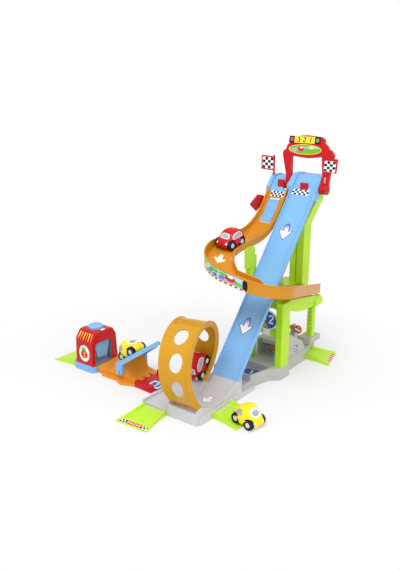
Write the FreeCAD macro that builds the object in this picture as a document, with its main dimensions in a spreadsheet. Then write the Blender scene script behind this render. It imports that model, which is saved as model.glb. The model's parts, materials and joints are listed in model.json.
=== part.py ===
"""Toy race tower: a steep two-lane slide, a banked spiral, a loop, a launcher and four little cars.

Millimetres. The origin is on the floor under the middle of the slide, where the front and rear base sections
meet; +X runs across the slide to the right, +Y towards the tower and +Z up.
"""

import FreeCAD, Part
import Sketcher
import os
import re
from math import atan, cos, degrees, radians, sin

V = FreeCAD.Vector

# Driving dimensions: alias, value, meaning
SIZES = [
    ("lane_width", 88, "outer width of the slide"),
    ("lane_pitch", 91, "from the slide's centre line to the left lane's"),
    ("skin", 3.5, "wall of the moulded tracks"),
    ("slide_angle", 49.72, "slope of the slide, degrees"),
    ("foot_y", -84, "lower end of the slide's rim"),
    ("foot_z", 56, "height of the slide's rim there"),
    ("rim_depth", 7.8, "slide floor below its rim, square to the slope"),
    ("track_depth", 12, "whole depth of the slide, square to the slope"),
    ("slide_length", 594, "length of the two slide sections along the slope"),
    ("platform_depth", 30, "depth of the start platform, square to the slope"),
    ("platform_top", 570, "height of the start platform"),
    ("platform_back", 405, "rear face of the start platform"),
    ("platform_left", -134, "left side of the start platform"),
    ("left_drop", 10, "left lane's top lies lower by this"),
    ("left_start", 322, "where the left lane leaves the platform"),
    ("median_left", -60, "left face of the strip between the lanes"),
    ("floor_top", 13.5, "height of the lane floors on the base"),
    ("base_right", 53, "right side of the base"),
    ("base_left", -139, "left side of the base"),
    ("base_lip", 15.4, "how far the base reaches in front of the loop's seat"),
    ("kerb_wall", 4, "thickness of the base's kerbs"),
    ("runout_radius", 106, "curve from the slide to the flat"),
    ("loop_y", -182, "centre of the loop"),
    ("loop_radius", 114.5, "outer radius of the loop"),
    ("loop_width", 84, "width of the loop band"),
    ("loop_flange", 13, "height of the loop's inner flanges"),
    ("loop_start_x", 3, "middle of the loop band where it begins"),
    ("loop_seat", 40, "angle up from the bottom where the loop sits on the base"),
    ("deck_z", 213, "underside of the upper deck"),
    ("deck_height", 12, "thickness of the upper deck"),
    ("rear_top", 38, "top of the rear base"),
    ("post_left", -66, "left face of the left post"),
    ("column_right", 74, "right face of the front column"),
    ("column_left", 50, "left face of the front column"),
    ("column_front", 98, "front face of the front column"),
    ("column_back", 142, "back face of the front column"),
    ("beam_right", 66, "right face of the side beam"),
    ("tower_left", -46, "left face of the tower column"),
    ("tower_right", 1, "right face of the tower column"),
    ("tower_front", 335, "front face of the tower column"),
    ("tower_back", 379, "back face of the tower column"),
    ("pivot_y", 346, "axis of the start arch"),
    ("pivot_z", 530, "height of the start arch's axis"),
    ("arch_lean", 9, "backward lean of the start arch, degrees"),
    ("arch_thick", 12, "thickness of the start arch"),
    ("shaft_radius", 3.5, "start arch's shaft"),
    ("running_gap", 0.05, "clearance of a shaft in its bore"),
    ("launcher_left", -481, "left end of the launcher"),
    ("launcher_right", -393, "right end of the launcher"),
    ("launcher_front", -208, "front of the launcher"),
    ("launcher_back", -101, "back of the launcher"),
    ("launcher_top", 126, "top of the launcher's housing"),
    ("launcher_opening", 93, "top of the opening in the housing"),
    ("button_radius", 23, "radius of the launch button"),
    ("button_height", 16, "height of the launch button's cap"),
    ("button_stem_radius", 6, "radius of its stem"),
    ("button_spring_length", 12.3, "length of its spring at rest"),
    ("bridge_x", -292, "axis of the tipping bridge"),
    ("bridge_z", 31, "height of that axis"),
    ("bridge_angle", 33.6, "slope of the tipping bridge, degrees"),
    ("bridge_front", -201, "front side of the tipping bridge"),
    ("bridge_back", -91, "back side of the tipping bridge"),
    ("bridge_length", 193, "length of the tipping bridge's near rail"),
    ("deck_length", 76, "length of its deck and its far rail"),
    ("ramp_width", 88, "width of a floor ramp where it joins"),
    ("ramp_flare", 105, "width of a floor ramp at its tip"),
    ("ramp_length", 100, "length of a floor ramp"),
    ("car_length", 78, "length of a toy car"),
    ("car_width", 52, "width of a toy car's shell"),
    ("wheel_radius", 14.5, "radius of a car's wheel"),
    ("wheel_width", 12, "width of a car's wheel"),
    ("wheel_base", 42, "distance between a car's axles"),
    ("axle_radius", 2, "radius of the thin axles"),
    ("seat_gap", 0.3, "gap under a loose piece"),
]

FOLLOWING = [
    ("loop_z", "=floor_top + loop_radius - skin", "height of the loop's centre, so that it runs into the floor"),
    ("base_front_y", "=loop_y - loop_radius * sin(loop_seat) - base_lip", "front edge of the base"),
]

doc = FreeCAD.newDocument("RaceTower")
sheet = doc.addObject("Spreadsheet::Sheet", "Sizes")
for row, (alias, value, meaning) in enumerate(SIZES + FOLLOWING, start=1):
    sheet.set(f"A{row}", meaning)
    sheet.set(f"B{row}", str(value))
    sheet.setAlias(f"B{row}", alias)
doc.recompute()
ALIASES = {alias for alias, _, _ in SIZES + FOLLOWING}
PIECES = []


def formula(text):
    """Sheet expression: every alias in the text is looked up in the sheet."""
    return re.sub(r"[a-z_]+", lambda word: f"Sizes.{word[0]}" if word[0] in ALIASES else word[0], str(text))


def size(text):
    """Number that a sheet expression gives now."""
    return float(sheet.evalExpression(formula(text)))


def bind(thing, prop, text):
    thing.setExpression(prop, formula(text))


def piece(thing, label):
    """Names a finished sub-part, which is exported under that name."""
    thing.Label = label
    PIECES.append(thing)
    return thing


def block(name, x, y, z):
    """Box between two x, two y and two z."""
    box = doc.addObject("Part::Box", name)
    for axis, side, (low, high) in zip("xyz", ("Length", "Width", "Height"), (x, y, z)):
        bind(box, side, f"({high}) - ({low})")
        bind(box, f"Placement.Base.{axis}", low)
    return box


TURNS = {"x": FreeCAD.Rotation(V(0, 1, 0), 90), "y": FreeCAD.Rotation(V(1, 0, 0), -90), "z": FreeCAD.Rotation()}


def rod(name, axis, radius, length, x, y, z):
    """Cylinder along an axis, from a start point in the axis's positive direction."""
    cylinder = doc.addObject("Part::Cylinder", name)
    cylinder.Placement = FreeCAD.Placement(V(), TURNS[axis])
    bind(cylinder, "Radius", radius)
    bind(cylinder, "Height", length)
    for letter, place in zip("xyz", (x, y, z)):
        bind(cylinder, f"Placement.Base.{letter}", place)
    return cylinder


def join(name, *things):
    fuse = doc.addObject("Part::MultiFuse", name)
    fuse.Shapes = list(things)
    fuse.Refine = True
    return fuse


def cut(name, base, *tools):
    result = base
    for number, tool in enumerate(tools, start=1):
        step = doc.addObject("Part::Cut", name if number == len(tools) else f"{name}_step{number}")
        step.Base = result
        step.Tool = tool
        step.Refine = number == len(tools)
        result = step
    return result


def origin_plane(body, role):
    return next(part for part in body.Origin.OriginFeatures if part.Role == role)


def prism(name, plane, outline, low, high):
    """Body padded from an outline between two distances from its plane.

    The outline's corners are pairs of sheet expressions, with a third one where the corner is rounded.
    """
    body = doc.addObject("PartDesign::Body", name)
    sketch = body.newObject("Sketcher::SketchObject", f"{name}_outline")
    sketch.AttachmentSupport = [(origin_plane(body, f"{plane}_Plane"), "")]
    sketch.MapMode = "FlatFace"
    corners = [V(size(corner[0]), size(corner[1]), 0) for corner in outline]
    last = len(corners) - 1
    for number, corner in enumerate(corners):
        following = corners[0 if number == last else number + 1]
        sketch.addGeometry(Part.LineSegment(corner, following))
    for number in range(last + 1):
        sketch.addConstraint(Sketcher.Constraint("Coincident", number, 2, 0 if number == last else number + 1, 1))
    for number, corner in enumerate(outline):
        for kind, text in zip(("DistanceX", "DistanceY"), corner):
            index = sketch.addConstraint(Sketcher.Constraint(kind, -1, 1, number, 1, size(text)))
            if not str(text).lstrip("-").replace(".", "").isdigit():
                bind(sketch, f"Constraints[{index}]", text)
    bind(sketch, "AttachmentOffset.Base.z", f"-({high})" if plane == "XZ" else low)
    pad = body.newObject("PartDesign::Pad", f"{name}_pad")
    pad.Profile = sketch
    bind(pad, "Length", f"({high}) - ({low})")
    doc.recompute()
    feature = pad
    radii = []
    for corner in outline:
        if len(corner) > 2 and corner[2] not in radii:
            radii.append(corner[2])
    for number, radius in enumerate(radii, start=1):
        wanted = [spot for spot, corner in zip(corners, outline) if len(corner) > 2 and corner[2] == radius]
        edges = [f"Edge{index}" for index, edge in enumerate(feature.Shape.Edges, start=1)
                 if across(plane, edge, wanted)]
        fillet = body.newObject("PartDesign::Fillet", f"{name}_round{number}")
        fillet.Base = (feature, edges)
        bind(fillet, "Radius", radius)
        doc.recompute()
        feature = fillet
    body.Tip = feature
    return body


def across(plane, edge, corners):
    """Whether an edge is the one that the pad drew out from one of these corners."""
    if len(edge.Vertexes) != 2:
        return False
    spots = []
    for vertex in edge.Vertexes:
        x, y, z = vertex.Point
        spots.append({"XY": (x, y), "XZ": (x, z), "YZ": (y, z)}[plane])
    near = 0.001
    if abs(spots[0][0] - spots[1][0]) > near or abs(spots[0][1] - spots[1][1]) > near:
        return False
    return any(abs(spots[0][0] - spot.x) < near and abs(spots[0][1] - spot.y) < near for spot in corners)


def shaped(name, solid, base=V(), turn=FreeCAD.Rotation()):
    """Feature for a form that the sketches and primitives don't give."""
    feature = doc.addObject("Part::Feature", name)
    feature.Shape = solid
    feature.Placement = FreeCAD.Placement(base, turn)
    return feature


def softened(name, base, radius, chooser):
    """Rounds the edges that the chooser takes."""
    doc.recompute()
    fillet = doc.addObject("Part::Fillet", name)
    fillet.Base = base
    fillet.Edges = [(index, size(radius), size(radius))
                    for index, edge in enumerate(base.Shape.Edges, start=1) if chooser(edge)]
    return fillet


def closed(points):
    return Part.makePolygon(points + points[:1])


def loft(sections):
    """Solid through closed sections."""
    return Part.makeLoft([closed(section) for section in sections], True, False)


# The slide's rim line climbs from the foot at the slide's angle. Places beside it are worked out
# by sliding down square to it, or straight down.

def rim(y):
    return f"(foot_z + (({y}) - (foot_y)) * tan(slide_angle))"


def below_rim(y, depth):
    """Height straight under the rim, for a surface that lies this deep square to the slope."""
    return f"({rim(y)} - ({depth}) / cos(slide_angle))"


def crest(height, depth):
    """Where a surface this deep under the slope reaches a height."""
    return f"(foot_y + (({height}) - foot_z + ({depth}) / cos(slide_angle)) / tan(slide_angle))"


HALF = "(lane_width / 2)"
INNER = "(lane_width / 2 - skin)"
SEAM_Y = "(foot_y + slide_length * cos(slide_angle))"


def square_y(y, depth):
    return f"(({y}) + ({depth}) * sin(slide_angle))"


def square_z(y, depth):
    return f"({rim(y)} - ({depth}) * cos(slide_angle))"


def front_base():
    """Grey base with both run-outs, kerbs, and the two seats that carry the ends of the loop."""
    inner = "(loop_radius - skin)"
    seat_y = f"(loop_y - {inner} * sin(loop_seat))"
    seat_z = f"(loop_z - {inner} * cos(loop_seat))"
    lip_y = "(loop_y - loop_radius * sin(loop_seat))"
    lip_z = "(loop_z - loop_radius * cos(loop_seat))"
    bend_y = f"(loop_y - {inner} * tan(loop_seat / 2))"
    bottom = f"(loop_z - {inner})"
    floor_end_y = square_y("foot_y", "rim_depth")
    floor_end_z = square_z("foot_y", "rim_depth")
    turn_y = f"({floor_end_y} - ({floor_end_z} - {bottom}) / tan(slide_angle))"
    under_y = square_y("foot_y", "track_depth")
    under_z = square_z("foot_y", "track_depth")
    saddle = 12
    right = prism("right_lane_block", "YZ", [
        ("base_front_y", 0),
        ("base_front_y", lip_z),
        (lip_y, lip_z),
        (seat_y, seat_z),
        (bend_y, bottom, f"{inner} * 0.99"),
        (turn_y, bottom, "runout_radius * 0.75"),
        (floor_end_y, floor_end_z),
        (under_y, under_z),
        (f"{under_y} + {saddle}", f"{under_z} + {saddle} * tan(slide_angle)"),
        (f"{under_y} + {saddle}", bottom),
        (0, bottom),
        (0, 0),
    ], f"-{HALF}", HALF)
    kerb_outline = [
        ("base_front_y", 0),
        ("base_front_y", f"{lip_z} + 5", 4),
        (f"{seat_y} + 4", f"{seat_z} + 7"),
        ("loop_y - 38", f"{bottom} + 18"),
        ("loop_y + 44", f"{bottom} + 17"),
        ("foot_y", "foot_z"),
        (under_y, under_z),
        (f"{under_y} + {saddle}", bottom),
        (0, bottom),
        (0, 0),
    ]
    right_kerb = prism("right_kerb", "YZ", kerb_outline, HALF, f"{HALF} + kerb_wall")
    middle_kerb = prism("middle_kerb", "YZ", kerb_outline, f"-({HALF}) - kerb_wall", f"-{HALF}")
    apron = prism("right_apron", "XY", [
        (f"{HALF} + kerb_wall", "base_front_y + 7"),
        ("base_right", "base_front_y + 7", 3),
        ("base_right", "foot_y - 16", 5),
        (31, "foot_y + 35"),
        (31, 0),
        (0, 0),
        (0, "foot_y - 10"),
        (f"{HALF} + kerb_wall", "foot_y - 10"),
    ], 0, f"{bottom} + 6")
    left = prism("left_lane_block", "YZ", [
        ("base_front_y", 0),
        ("base_front_y", bottom),
        (f"2 * loop_y - {bend_y}", bottom, f"{inner} * 0.99"),
        (f"2 * loop_y - {seat_y}", seat_z),
        (f"2 * loop_y - {lip_y}", lip_z),
        (f"2 * loop_y - {lip_y} + 9", lip_z, 3),
        (f"2 * loop_y - {lip_y} + 9", 0),
    ], "base_left + kerb_wall", f"-({HALF}) - kerb_wall")
    left_kerb = prism("left_kerb", "YZ", [
        ("base_front_y", 0),
        ("base_front_y", f"{bottom} + 7", 4),
        ("loop_y - 20", f"{bottom} + 7"),
        ("loop_y + 20", f"{bottom} + 14"),
        (f"2 * loop_y - {seat_y} - 2", f"{seat_z} + 6"),
        (f"2 * loop_y - {lip_y} + 9", f"{lip_z} + 3"),
        (f"2 * loop_y - {lip_y} + 9", 0),
    ], "base_left", "base_left + kerb_wall")
    plate = block("front_plate", ("-100", f"-{HALF}"), (f"2 * loop_y - {lip_y} + 9", 0), (0, bottom))
    solid = join("front_solid", right, right_kerb, middle_kerb, apron, left, left_kerb, plate)
    # The loop's beaded ends stand in pockets that are a little wider than the band.
    end_y = "(loop_y - (loop_radius + 3) * sin(loop_seat))"
    end_z = "(loop_z - (loop_radius + 3) * cos(loop_seat))"
    above = f"{lip_z} + 40"
    inside_y = "(loop_y - (loop_radius - loop_flange - 2) * sin(loop_seat))"
    inside_z = "(loop_z - (loop_radius - loop_flange - 2) * cos(loop_seat))"
    half_pocket = size("loop_width") / 2 + size("seat_gap")
    seat_angle = size("loop_seat")
    front_pocket = prism("front_loop_pocket", "YZ", [
        (f"{inside_y} + seat_gap", inside_z),
        (f"{end_y} + seat_gap", end_z),
        ("base_front_y - 1", end_z),
        ("base_front_y - 1", above),
        (f"{inside_y} + seat_gap", above),
    ], loop_middle(seat_angle) - half_pocket, loop_middle(seat_angle) + half_pocket)
    rear_pocket = prism("rear_loop_pocket", "YZ", [
        (f"2 * loop_y - {seat_y}", seat_z),
        (f"2 * loop_y - {end_y}", end_z),
        (f"2 * loop_y - {lip_y} + 26", end_z),
        (f"2 * loop_y - {lip_y} + 26", above),
        (f"2 * loop_y - {seat_y}", above),
    ], loop_middle(360 - seat_angle) - half_pocket, loop_middle(360 - seat_angle) + half_pocket)
    # The band leans over the middle kerb beside its seat.
    kerb_notch = prism("middle_kerb_notch", "YZ", [
        (f"2 * loop_y - {seat_y} - 5", f"{end_z} - 4"),
        (f"2 * loop_y - {lip_y} + 26", f"{end_z} - 4"),
        (f"2 * loop_y - {lip_y} + 26", above),
        (f"2 * loop_y - {seat_y} - 5", above),
    ], f"-({HALF}) - kerb_wall", f"-{HALF}")
    piece(cut("base_front", solid, front_pocket, rear_pocket, kerb_notch), "base_front")


def rear_base():
    """Grey rear base with the sunk parking place, the garage and the corner block."""
    slab = prism("rear_slab", "XY", [
        (-100, 0, 4),
        (31, 0),
        ("column_left", "column_front - 24"),
        ("column_right + 1", "column_front - 3"),
        ("column_right + 1", "column_back + 4"),
        (58, "column_back + 14"),
        (58, 279),
        (41, 345),
        (41, 366, 4),
        (-100, 366, 4),
    ], 0, "rear_top")
    pit = prism("parking_pit", "XY", [(-38, 6), (26, 6), (40, 60), (42, 88), (-38, 88)], "floor_top + 4", "rear_top + 1")
    piece(cut("base_rear", slab, pit), "base_rear")
    wall = prism("garage_side", "YZ", [
        (160, "rear_top"),
        (160, "rear_top + 77", 3),
        (178, "rear_top + 77"),
        (218, "rear_top + 52"),
        (250, "rear_top + 36"),
        (274, "rear_top + 2"),
        (274, "rear_top"),
    ], 50, 56)
    back = block("garage_back", (-46, 50), (180, 186), ("rear_top", "rear_top + 54"))
    roof = block("garage_roof", (-46, 50), (152, 180), ("rear_top + 42", "rear_top + 54"))
    side = block("garage_left", (-46, -40), (154, 180), ("rear_top", "rear_top + 42"))
    step = block("garage_step", (8, 50), (160, 180), ("rear_top", "rear_top + 20"))
    piece(join("garage", wall, back, roof, side, step), "garage")
    corner = prism("corner_body", "XZ", [
        (14, "rear_top"),
        (14, "rear_top + 24", 3),
        (60, "rear_top + 24", 3),
        (60, "rear_top + 7"),
        (41, "rear_top"),
    ], 300, 364)
    piece(corner, "corner_block")


def slide_section(label, start, end):
    """Length of blue channel lying on the slope."""
    body = prism(label, "XZ", [
        (f"-{HALF}", "-track_depth"),
        (HALF, "-track_depth"),
        (HALF, 0, 1.2),
        (INNER, 0, 1.2),
        (INNER, "-rim_depth", 1.5),
        (f"-{INNER}", "-rim_depth", 1.5),
        (f"-{INNER}", 0, 1.2),
        (f"-{HALF}", 0, 1.2),
    ], start, end)
    body.Placement = FreeCAD.Placement(V(), FreeCAD.Rotation(V(1, 0, 0), 0))
    bind(body, "Placement.Rotation.Angle", "slide_angle")
    bind(body, "Placement.Base.y", "foot_y")
    bind(body, "Placement.Base.z", "foot_z")
    piece(body, label)


def platform_profile(name, depth_top, depth_under, top, start_y, x_low, x_high, lowered="0", back_round="1"):
    """Strip of the platform whose upper side follows the slope and then the flat top."""
    under_flat = f"({top} - ({depth_under} - ({depth_top})))"
    return prism(name, "YZ", [
        (start_y, f"{below_rim(start_y, depth_top)} - {lowered}"),
        (crest(f"{top} + {lowered}", depth_top), top, 30),
        ("platform_back", top, back_round),
        ("platform_back", under_flat),
        (crest(f"{under_flat} + {lowered}", depth_under), under_flat),
        (start_y, f"{below_rim(start_y, depth_under)} - {lowered}"),
    ], x_low, x_high)


FLAG_X = -126
FLAG_Y = 352


def platform():
    """Light blue start platform, hollow below, with slots for the fingers and for the arch's left leg."""
    flat = "platform_top"
    low_flat = "(platform_top - left_drop)"
    floor_under = "rim_depth + skin"
    start = square_y(SEAM_Y, "platform_depth")
    right_wall = platform_profile("platform_right_wall", 0, "platform_depth", flat, start, INNER, HALF,
                                  back_round="8")
    median = platform_profile("platform_median", 0, "platform_depth", flat, start, "median_left", f"-{INNER}",
                              back_round="8")
    right_floor = platform_profile("platform_right_floor", "rim_depth", floor_under, f"{flat} - 3", start,
                                   f"-{INNER}", INNER)
    left_floor = platform_profile("platform_left_floor", "rim_depth", floor_under, f"{low_flat} - 3", "left_start",
                                  "platform_left + 12", "median_left", "left_drop")
    left_wall = platform_profile("platform_left_wall", 0, "platform_depth", low_flat, "left_start",
                                 "platform_left", "platform_left + 12", "left_drop", "8")
    rear = block("platform_rear", ("platform_left + 6", HALF), ("platform_back - skin", "platform_back"),
                 (f"{flat} - platform_depth", f"{low_flat} - 8"))
    wedge = prism("platform_front", "YZ", [
        (SEAM_Y, rim(SEAM_Y)),
        (start, rim(start)),
        (start, square_z(SEAM_Y, "platform_depth")),
    ], f"-{HALF}", HALF)
    wedge_cut = prism("platform_front_lane", "YZ", [
        (f"{SEAM_Y} - 20", below_rim(f"{SEAM_Y} - 20", "rim_depth")),
        (f"{start} + 1", below_rim(f"{start} + 1", "rim_depth")),
        (f"{start} + 1", rim(f"{start} + 60")),
        (f"{SEAM_Y} - 20", rim(f"{start} + 60")),
    ], f"-{INNER}", INNER)
    front = cut("platform_front_open", wedge, wedge_cut)
    boss = rod("flag_boss", "z", 5, 20, FLAG_X, FLAG_Y, "platform_top - left_drop - 20 - seat_gap")
    whole = join("platform_solid", right_wall, median, right_floor, left_floor, left_wall, rear, front, boss)
    right_slot = block("right_finger_slot", (-17, 10), (325, 333), (480, 570))
    left_slot = block("left_finger_slot", (-101, -77), (333, 341), (480, 570))
    leg_slot = block("leg_slot", (-79, -57.5), (330, 361), (515, 600))
    bar_slot = block("bar_slot", ("median_left - 1", f"-{INNER} + 1"), (324, 343), (470, 513))
    bore = rod("platform_bore", "x", "shaft_radius + running_gap", f"{HALF} - platform_left + 2",
               "platform_left - 1", "pivot_y", "pivot_z")
    piece(cut("start_platform", whole, right_slot, left_slot, leg_slot, bar_slot, bore), "start_platform")


# The spiral's centre line: straight, round to the right, straight, round again and straight to its end.
# Each station is a point, a heading and a share of the way; the rim falls and the lane banks along it.

SPIRAL = {
    "turn_y": 31,
    "first_radius": 59.5,
    "first_turn": 103.6,
    "middle_length": 63.5,
    "second_radius": 58.6,
    "second_turn": 89.4,
    "end_y": 333,
}
RIM_FALL = [(322, 525), (301, 497), (271, 460), (229, 431), (183, 415), (107, 409), (31, 405)]
RIM_AFTER_FIRST_TURN = 354
RIM_AFTER_MIDDLE = 336
RIM_AFTER_SECOND_TURN = 306
RIM_AT_END = 234


def between(value, stops):
    """Straight-line value from a list of (place, value) stops."""
    for (start, low), (end, high) in zip(stops, stops[1:]):
        if value <= end:
            return low + (high - low) * (value - start) / (end - start)
    return stops[-1][1]


def spiral_path():
    """Stations (x, y, heading, leg) of the centre line, where leg counts 0 to 5 along its five stretches."""
    x = -size("lane_pitch")
    y = size("left_start")
    heading = radians(-90)
    stations = []
    fall = [y] + [place for place, _ in RIM_FALL[1:]]
    for place in fall:
        leg = (y - place) / (y - fall[-1])
        stations.append((x, place, heading, leg))
    stations.pop()
    y = SPIRAL["turn_y"]
    pieces_per_turn = 8

    def turn(x, y, heading, radius, angle, leg):
        step = radians(angle) / pieces_per_turn
        chord = 2 * radius * sin(step / 2)
        for number in range(pieces_per_turn):
            stations.append((x, y, heading, leg + number / pieces_per_turn))
            x += chord * cos(heading + step / 2)
            y += chord * sin(heading + step / 2)
            heading += step
        return x, y, heading

    x, y, heading = turn(x, y, heading, SPIRAL["first_radius"], SPIRAL["first_turn"], 1)
    stations.append((x, y, heading, 2.0))
    middle = SPIRAL["middle_length"]
    stations.append((x + middle / 2 * cos(heading), y + middle / 2 * sin(heading), heading, 2.5))
    x += middle * cos(heading)
    y += middle * sin(heading)
    x, y, heading = turn(x, y, heading, SPIRAL["second_radius"], SPIRAL["second_turn"], 3)
    run = (SPIRAL["end_y"] - y) / sin(heading)
    for number in range(5):
        share = number / 4
        stations.append((x + run * share * cos(heading), y + run * share * sin(heading), heading, 4 + share))
    return stations


def rim_height(leg, y):
    """Height of the outer rim."""
    if leg < 1:
        return between(-y, [(-place, high) for place, high in RIM_FALL])
    return between(leg, [(1, RIM_FALL[-1][1]), (2, RIM_AFTER_FIRST_TURN), (3, RIM_AFTER_MIDDLE),
                         (4, RIM_AFTER_SECOND_TURN), (5, RIM_AT_END)])


def lane_width_at(leg):
    return between(leg, [(0, 69), (0.6, 74), (1, 84), (4, 84), (5, 80)])


def bank(leg):
    """How much lower the inner rim lies."""
    return between(leg, [(0, 0), (0.3, 8), (0.85, 11), (1, 16), (4, 18), (5, 11)])


def outer_wall(leg):
    return between(leg, [(0, 20), (1, 34), (4, 33), (5, 27)])


def outer_floor(leg):
    """Depth of the floor under the outer rim."""
    return between(leg, [(0, 12), (0.8, 16), (1, 23), (4, 22), (5, 14)])


def pinch(leg):
    """How far the inner side is drawn in, where the lane passes beside the slide."""
    return between(leg, [(0, 0), (4, 0), (4.25, 15.5), (4.5, 8), (4.8, 0), (5, 0)])


INNER_FLOOR = 12
INNER_WALL = 18


def lane_section(station):
    """Closed outline of the banked channel at one station."""
    x, y, heading, leg = station
    half = lane_width_at(leg) / 2
    near = half - pinch(leg)
    wall = size("skin")
    low = bank(leg)
    outer_bottom = outer_wall(leg)
    floor_outer = outer_floor(leg)
    floor_inner = low + INNER_FLOOR
    rim_z = rim_height(leg, y)
    shape = [
        (half, 0),
        (half, -outer_bottom),
        (half - wall, -outer_bottom),
        (half - wall, -floor_outer - wall),
        (-near + wall, -floor_inner - wall),
        (-near + wall, -low - INNER_WALL),
        (-near, -low - INNER_WALL),
        (-near, -low),
        (-near + wall, -low),
        (-near + wall, -floor_inner),
        (half - wall, -floor_outer),
        (half - wall, 0),
    ]
    return [V(x + across_lane * sin(heading), y - across_lane * cos(heading), rim_z + up)
            for across_lane, up in shape]


def lane_strip(stations, outer, inner, above, below):
    """Strip that follows the lane's floor between two distances from its centre line."""
    sections = []
    for x, y, heading, leg in stations:
        half = lane_width_at(leg) / 2 - size("skin")
        floor_outer = -outer_floor(leg)
        floor_inner = -bank(leg) - INNER_FLOOR
        rim_z = rim_height(leg, y)
        corners = []
        for across_lane, up in ((outer, above), (outer, -below), (inner, -below), (inner, above)):
            floor = floor_inner + (floor_outer - floor_inner) * (across_lane + half) / (2 * half)
            corners.append(V(x + across_lane * sin(heading), y - across_lane * cos(heading), rim_z + floor + up))
        sections.append(corners)
    return loft(sections)


def floor_height(y):
    """Height of the lane's floor on its centre line, on the first straight."""
    leg = straight_stations(y)[0][3]
    return rim_height(leg, y) - (outer_floor(leg) + bank(leg) + INNER_FLOOR) / 2


def straight_stations(*places):
    """Stations on the first straight, at these y."""
    start = size("left_start")
    return [(-size("lane_pitch"), y, radians(-90), (start - y) / (start - SPIRAL["turn_y"])) for y in places]


WINDOW_OUTER = 22
WINDOW_INNER = -17
HINGE_Y = 306
HINGE_Z = 486.5


def spiral():
    """Orange lane in three mouldings, with the trapdoor's window in the upper one."""
    stations = spiral_path()
    first = next(number for number, station in enumerate(stations) if station[3] == 1)
    second = next(number for number, station in enumerate(stations) if station[3] == 4)
    upper = shaped("upper_lane_body", loft([lane_section(station) for station in stations[:first + 1]]))
    window = shaped("window_tool", lane_strip(straight_stations(310, 301, 286, 271, 260, 250), WINDOW_OUTER,
                                              WINDOW_INNER, 6, 9))
    bore = rod("trapdoor_bore", "x", "axle_radius + running_gap", 57, -129, HINGE_Y, HINGE_Z)
    piece(cut("spiral_upper_lane", upper, window, bore), "spiral_upper_lane")
    curve = shaped("spiral_curve", loft([lane_section(station) for station in stations[first:second + 1]]))
    piece(curve, "spiral_curve")
    piece(shaped("spiral_exit_lane", loft([lane_section(station) for station in stations[second:]])),
          "spiral_exit_lane")


def trapdoor():
    """Blue flap flush with the lane floor, and the red lever outside the wall that turns it."""
    gap = 1
    plate = shaped("flap_plate", lane_strip(straight_stations(304, 296, 286, 271, 260, 252),
                                            WINDOW_OUTER - gap, WINDOW_INNER + gap, 0, 3))
    barrel = rod("flap_barrel", "x", 3.6, WINDOW_OUTER - WINDOW_INNER - 2 * gap,
                 -size("lane_pitch") - WINDOW_OUTER + gap, HINGE_Y, HINGE_Z)
    axle = rod("lever_axle", "x", "axle_radius", 59, -133, HINGE_Y, HINGE_Z)
    bore = rod("flap_bore", "x", "axle_radius", 60, -133, HINGE_Y, HINGE_Z)
    piece(cut("trapdoor_flap", join("flap_solid", plate, barrel), bore), "trapdoor_flap")
    paddle = prism("lever_paddle", "YZ", [
        (312, 486, 4),
        (300, 500, 4),
        (272, 506, 4),
        (228, 481, 4),
        (263, 455, 4),
        (304, 479, 4),
    ], -134.5, -130)
    piece(join("trapdoor_lever", paddle, axle), "trapdoor_lever")


def loop_share(angle):
    """Share of the way between the loop's two seats."""
    return (angle - size("loop_seat")) / (360 - 2 * size("loop_seat"))


def loop_middle(angle):
    """Middle of the loop band: it leaves the slide's lane and comes down in the left one."""
    share = loop_share(angle)
    start = size("loop_start_x")
    return start + (-size("lane_pitch") - start) * (3 * share ** 2 - 2 * share ** 3)


def loop_lean(angle):
    """Rise of y along x that keeps the band's cross direction square to its path."""
    share = loop_share(angle)
    drift = 6 * share * (1 - share) * (size("lane_pitch") + size("loop_start_x"))
    return drift / (radians(360 - 2 * size("loop_seat")) * size("loop_radius"))


def loop_section(angle):
    """Closed outline of the flanged band at an angle counted from the bottom, forward and up."""
    outer = size("loop_radius")
    wall = size("skin")
    half = size("loop_width") / 2
    flange = size("loop_flange")
    bead = 2.2
    turn = radians(angle)
    shape = [
        (-half, outer + bead),
        (-half + wall, outer + bead),
        (-half + wall + bead, outer),
        (half - wall - bead, outer),
        (half - wall, outer + bead),
        (half, outer + bead),
        (half, outer - flange),
        (half - wall, outer - flange),
        (half - wall, outer - wall),
        (-half + wall, outer - wall),
        (-half + wall, outer - flange),
        (-half, outer - flange),
    ]
    return [V(loop_middle(angle) + x, size("loop_y") + x * loop_lean(angle) - reach * sin(turn),
              size("loop_z") - reach * cos(turn)) for x, reach in shape]


HOLE_ANGLES = [76, 112, 148, 250]


def loop_half(label, start, end):
    steps = 10
    band = shaped(f"{label}_band", loft([loop_section(start + (end - start) * number / steps)
                                         for number in range(steps + 1)]))
    holes = []
    for angle in HOLE_ANGLES:
        if start < angle < end:
            holes.append(loop_hole(f"{label}_hole_{angle}", angle))
    piece(cut(label, band, *holes), label)


def loop_hole(name, angle):
    """Oval hole tool that looks out from the loop's centre."""
    along_half, across_half = 25, 18.5
    reach = size("loop_radius")
    ellipse = Part.Ellipse(V(0, along_half, 0), V(-across_half, 0, 0), V()).toShape()
    solid = Part.Face(Part.Wire([ellipse])).extrude(V(0, 0, 60))
    turn = FreeCAD.Rotation(V(0, 0, 1), degrees(atan(loop_lean(angle)))) * FreeCAD.Rotation(V(1, 0, 0), 180 - angle)
    centre = V(loop_middle(angle), size("loop_y") - (reach - 30) * sin(radians(angle)),
               size("loop_z") - (reach - 30) * cos(radians(angle)))
    return shaped(name, solid, centre, turn)


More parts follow.
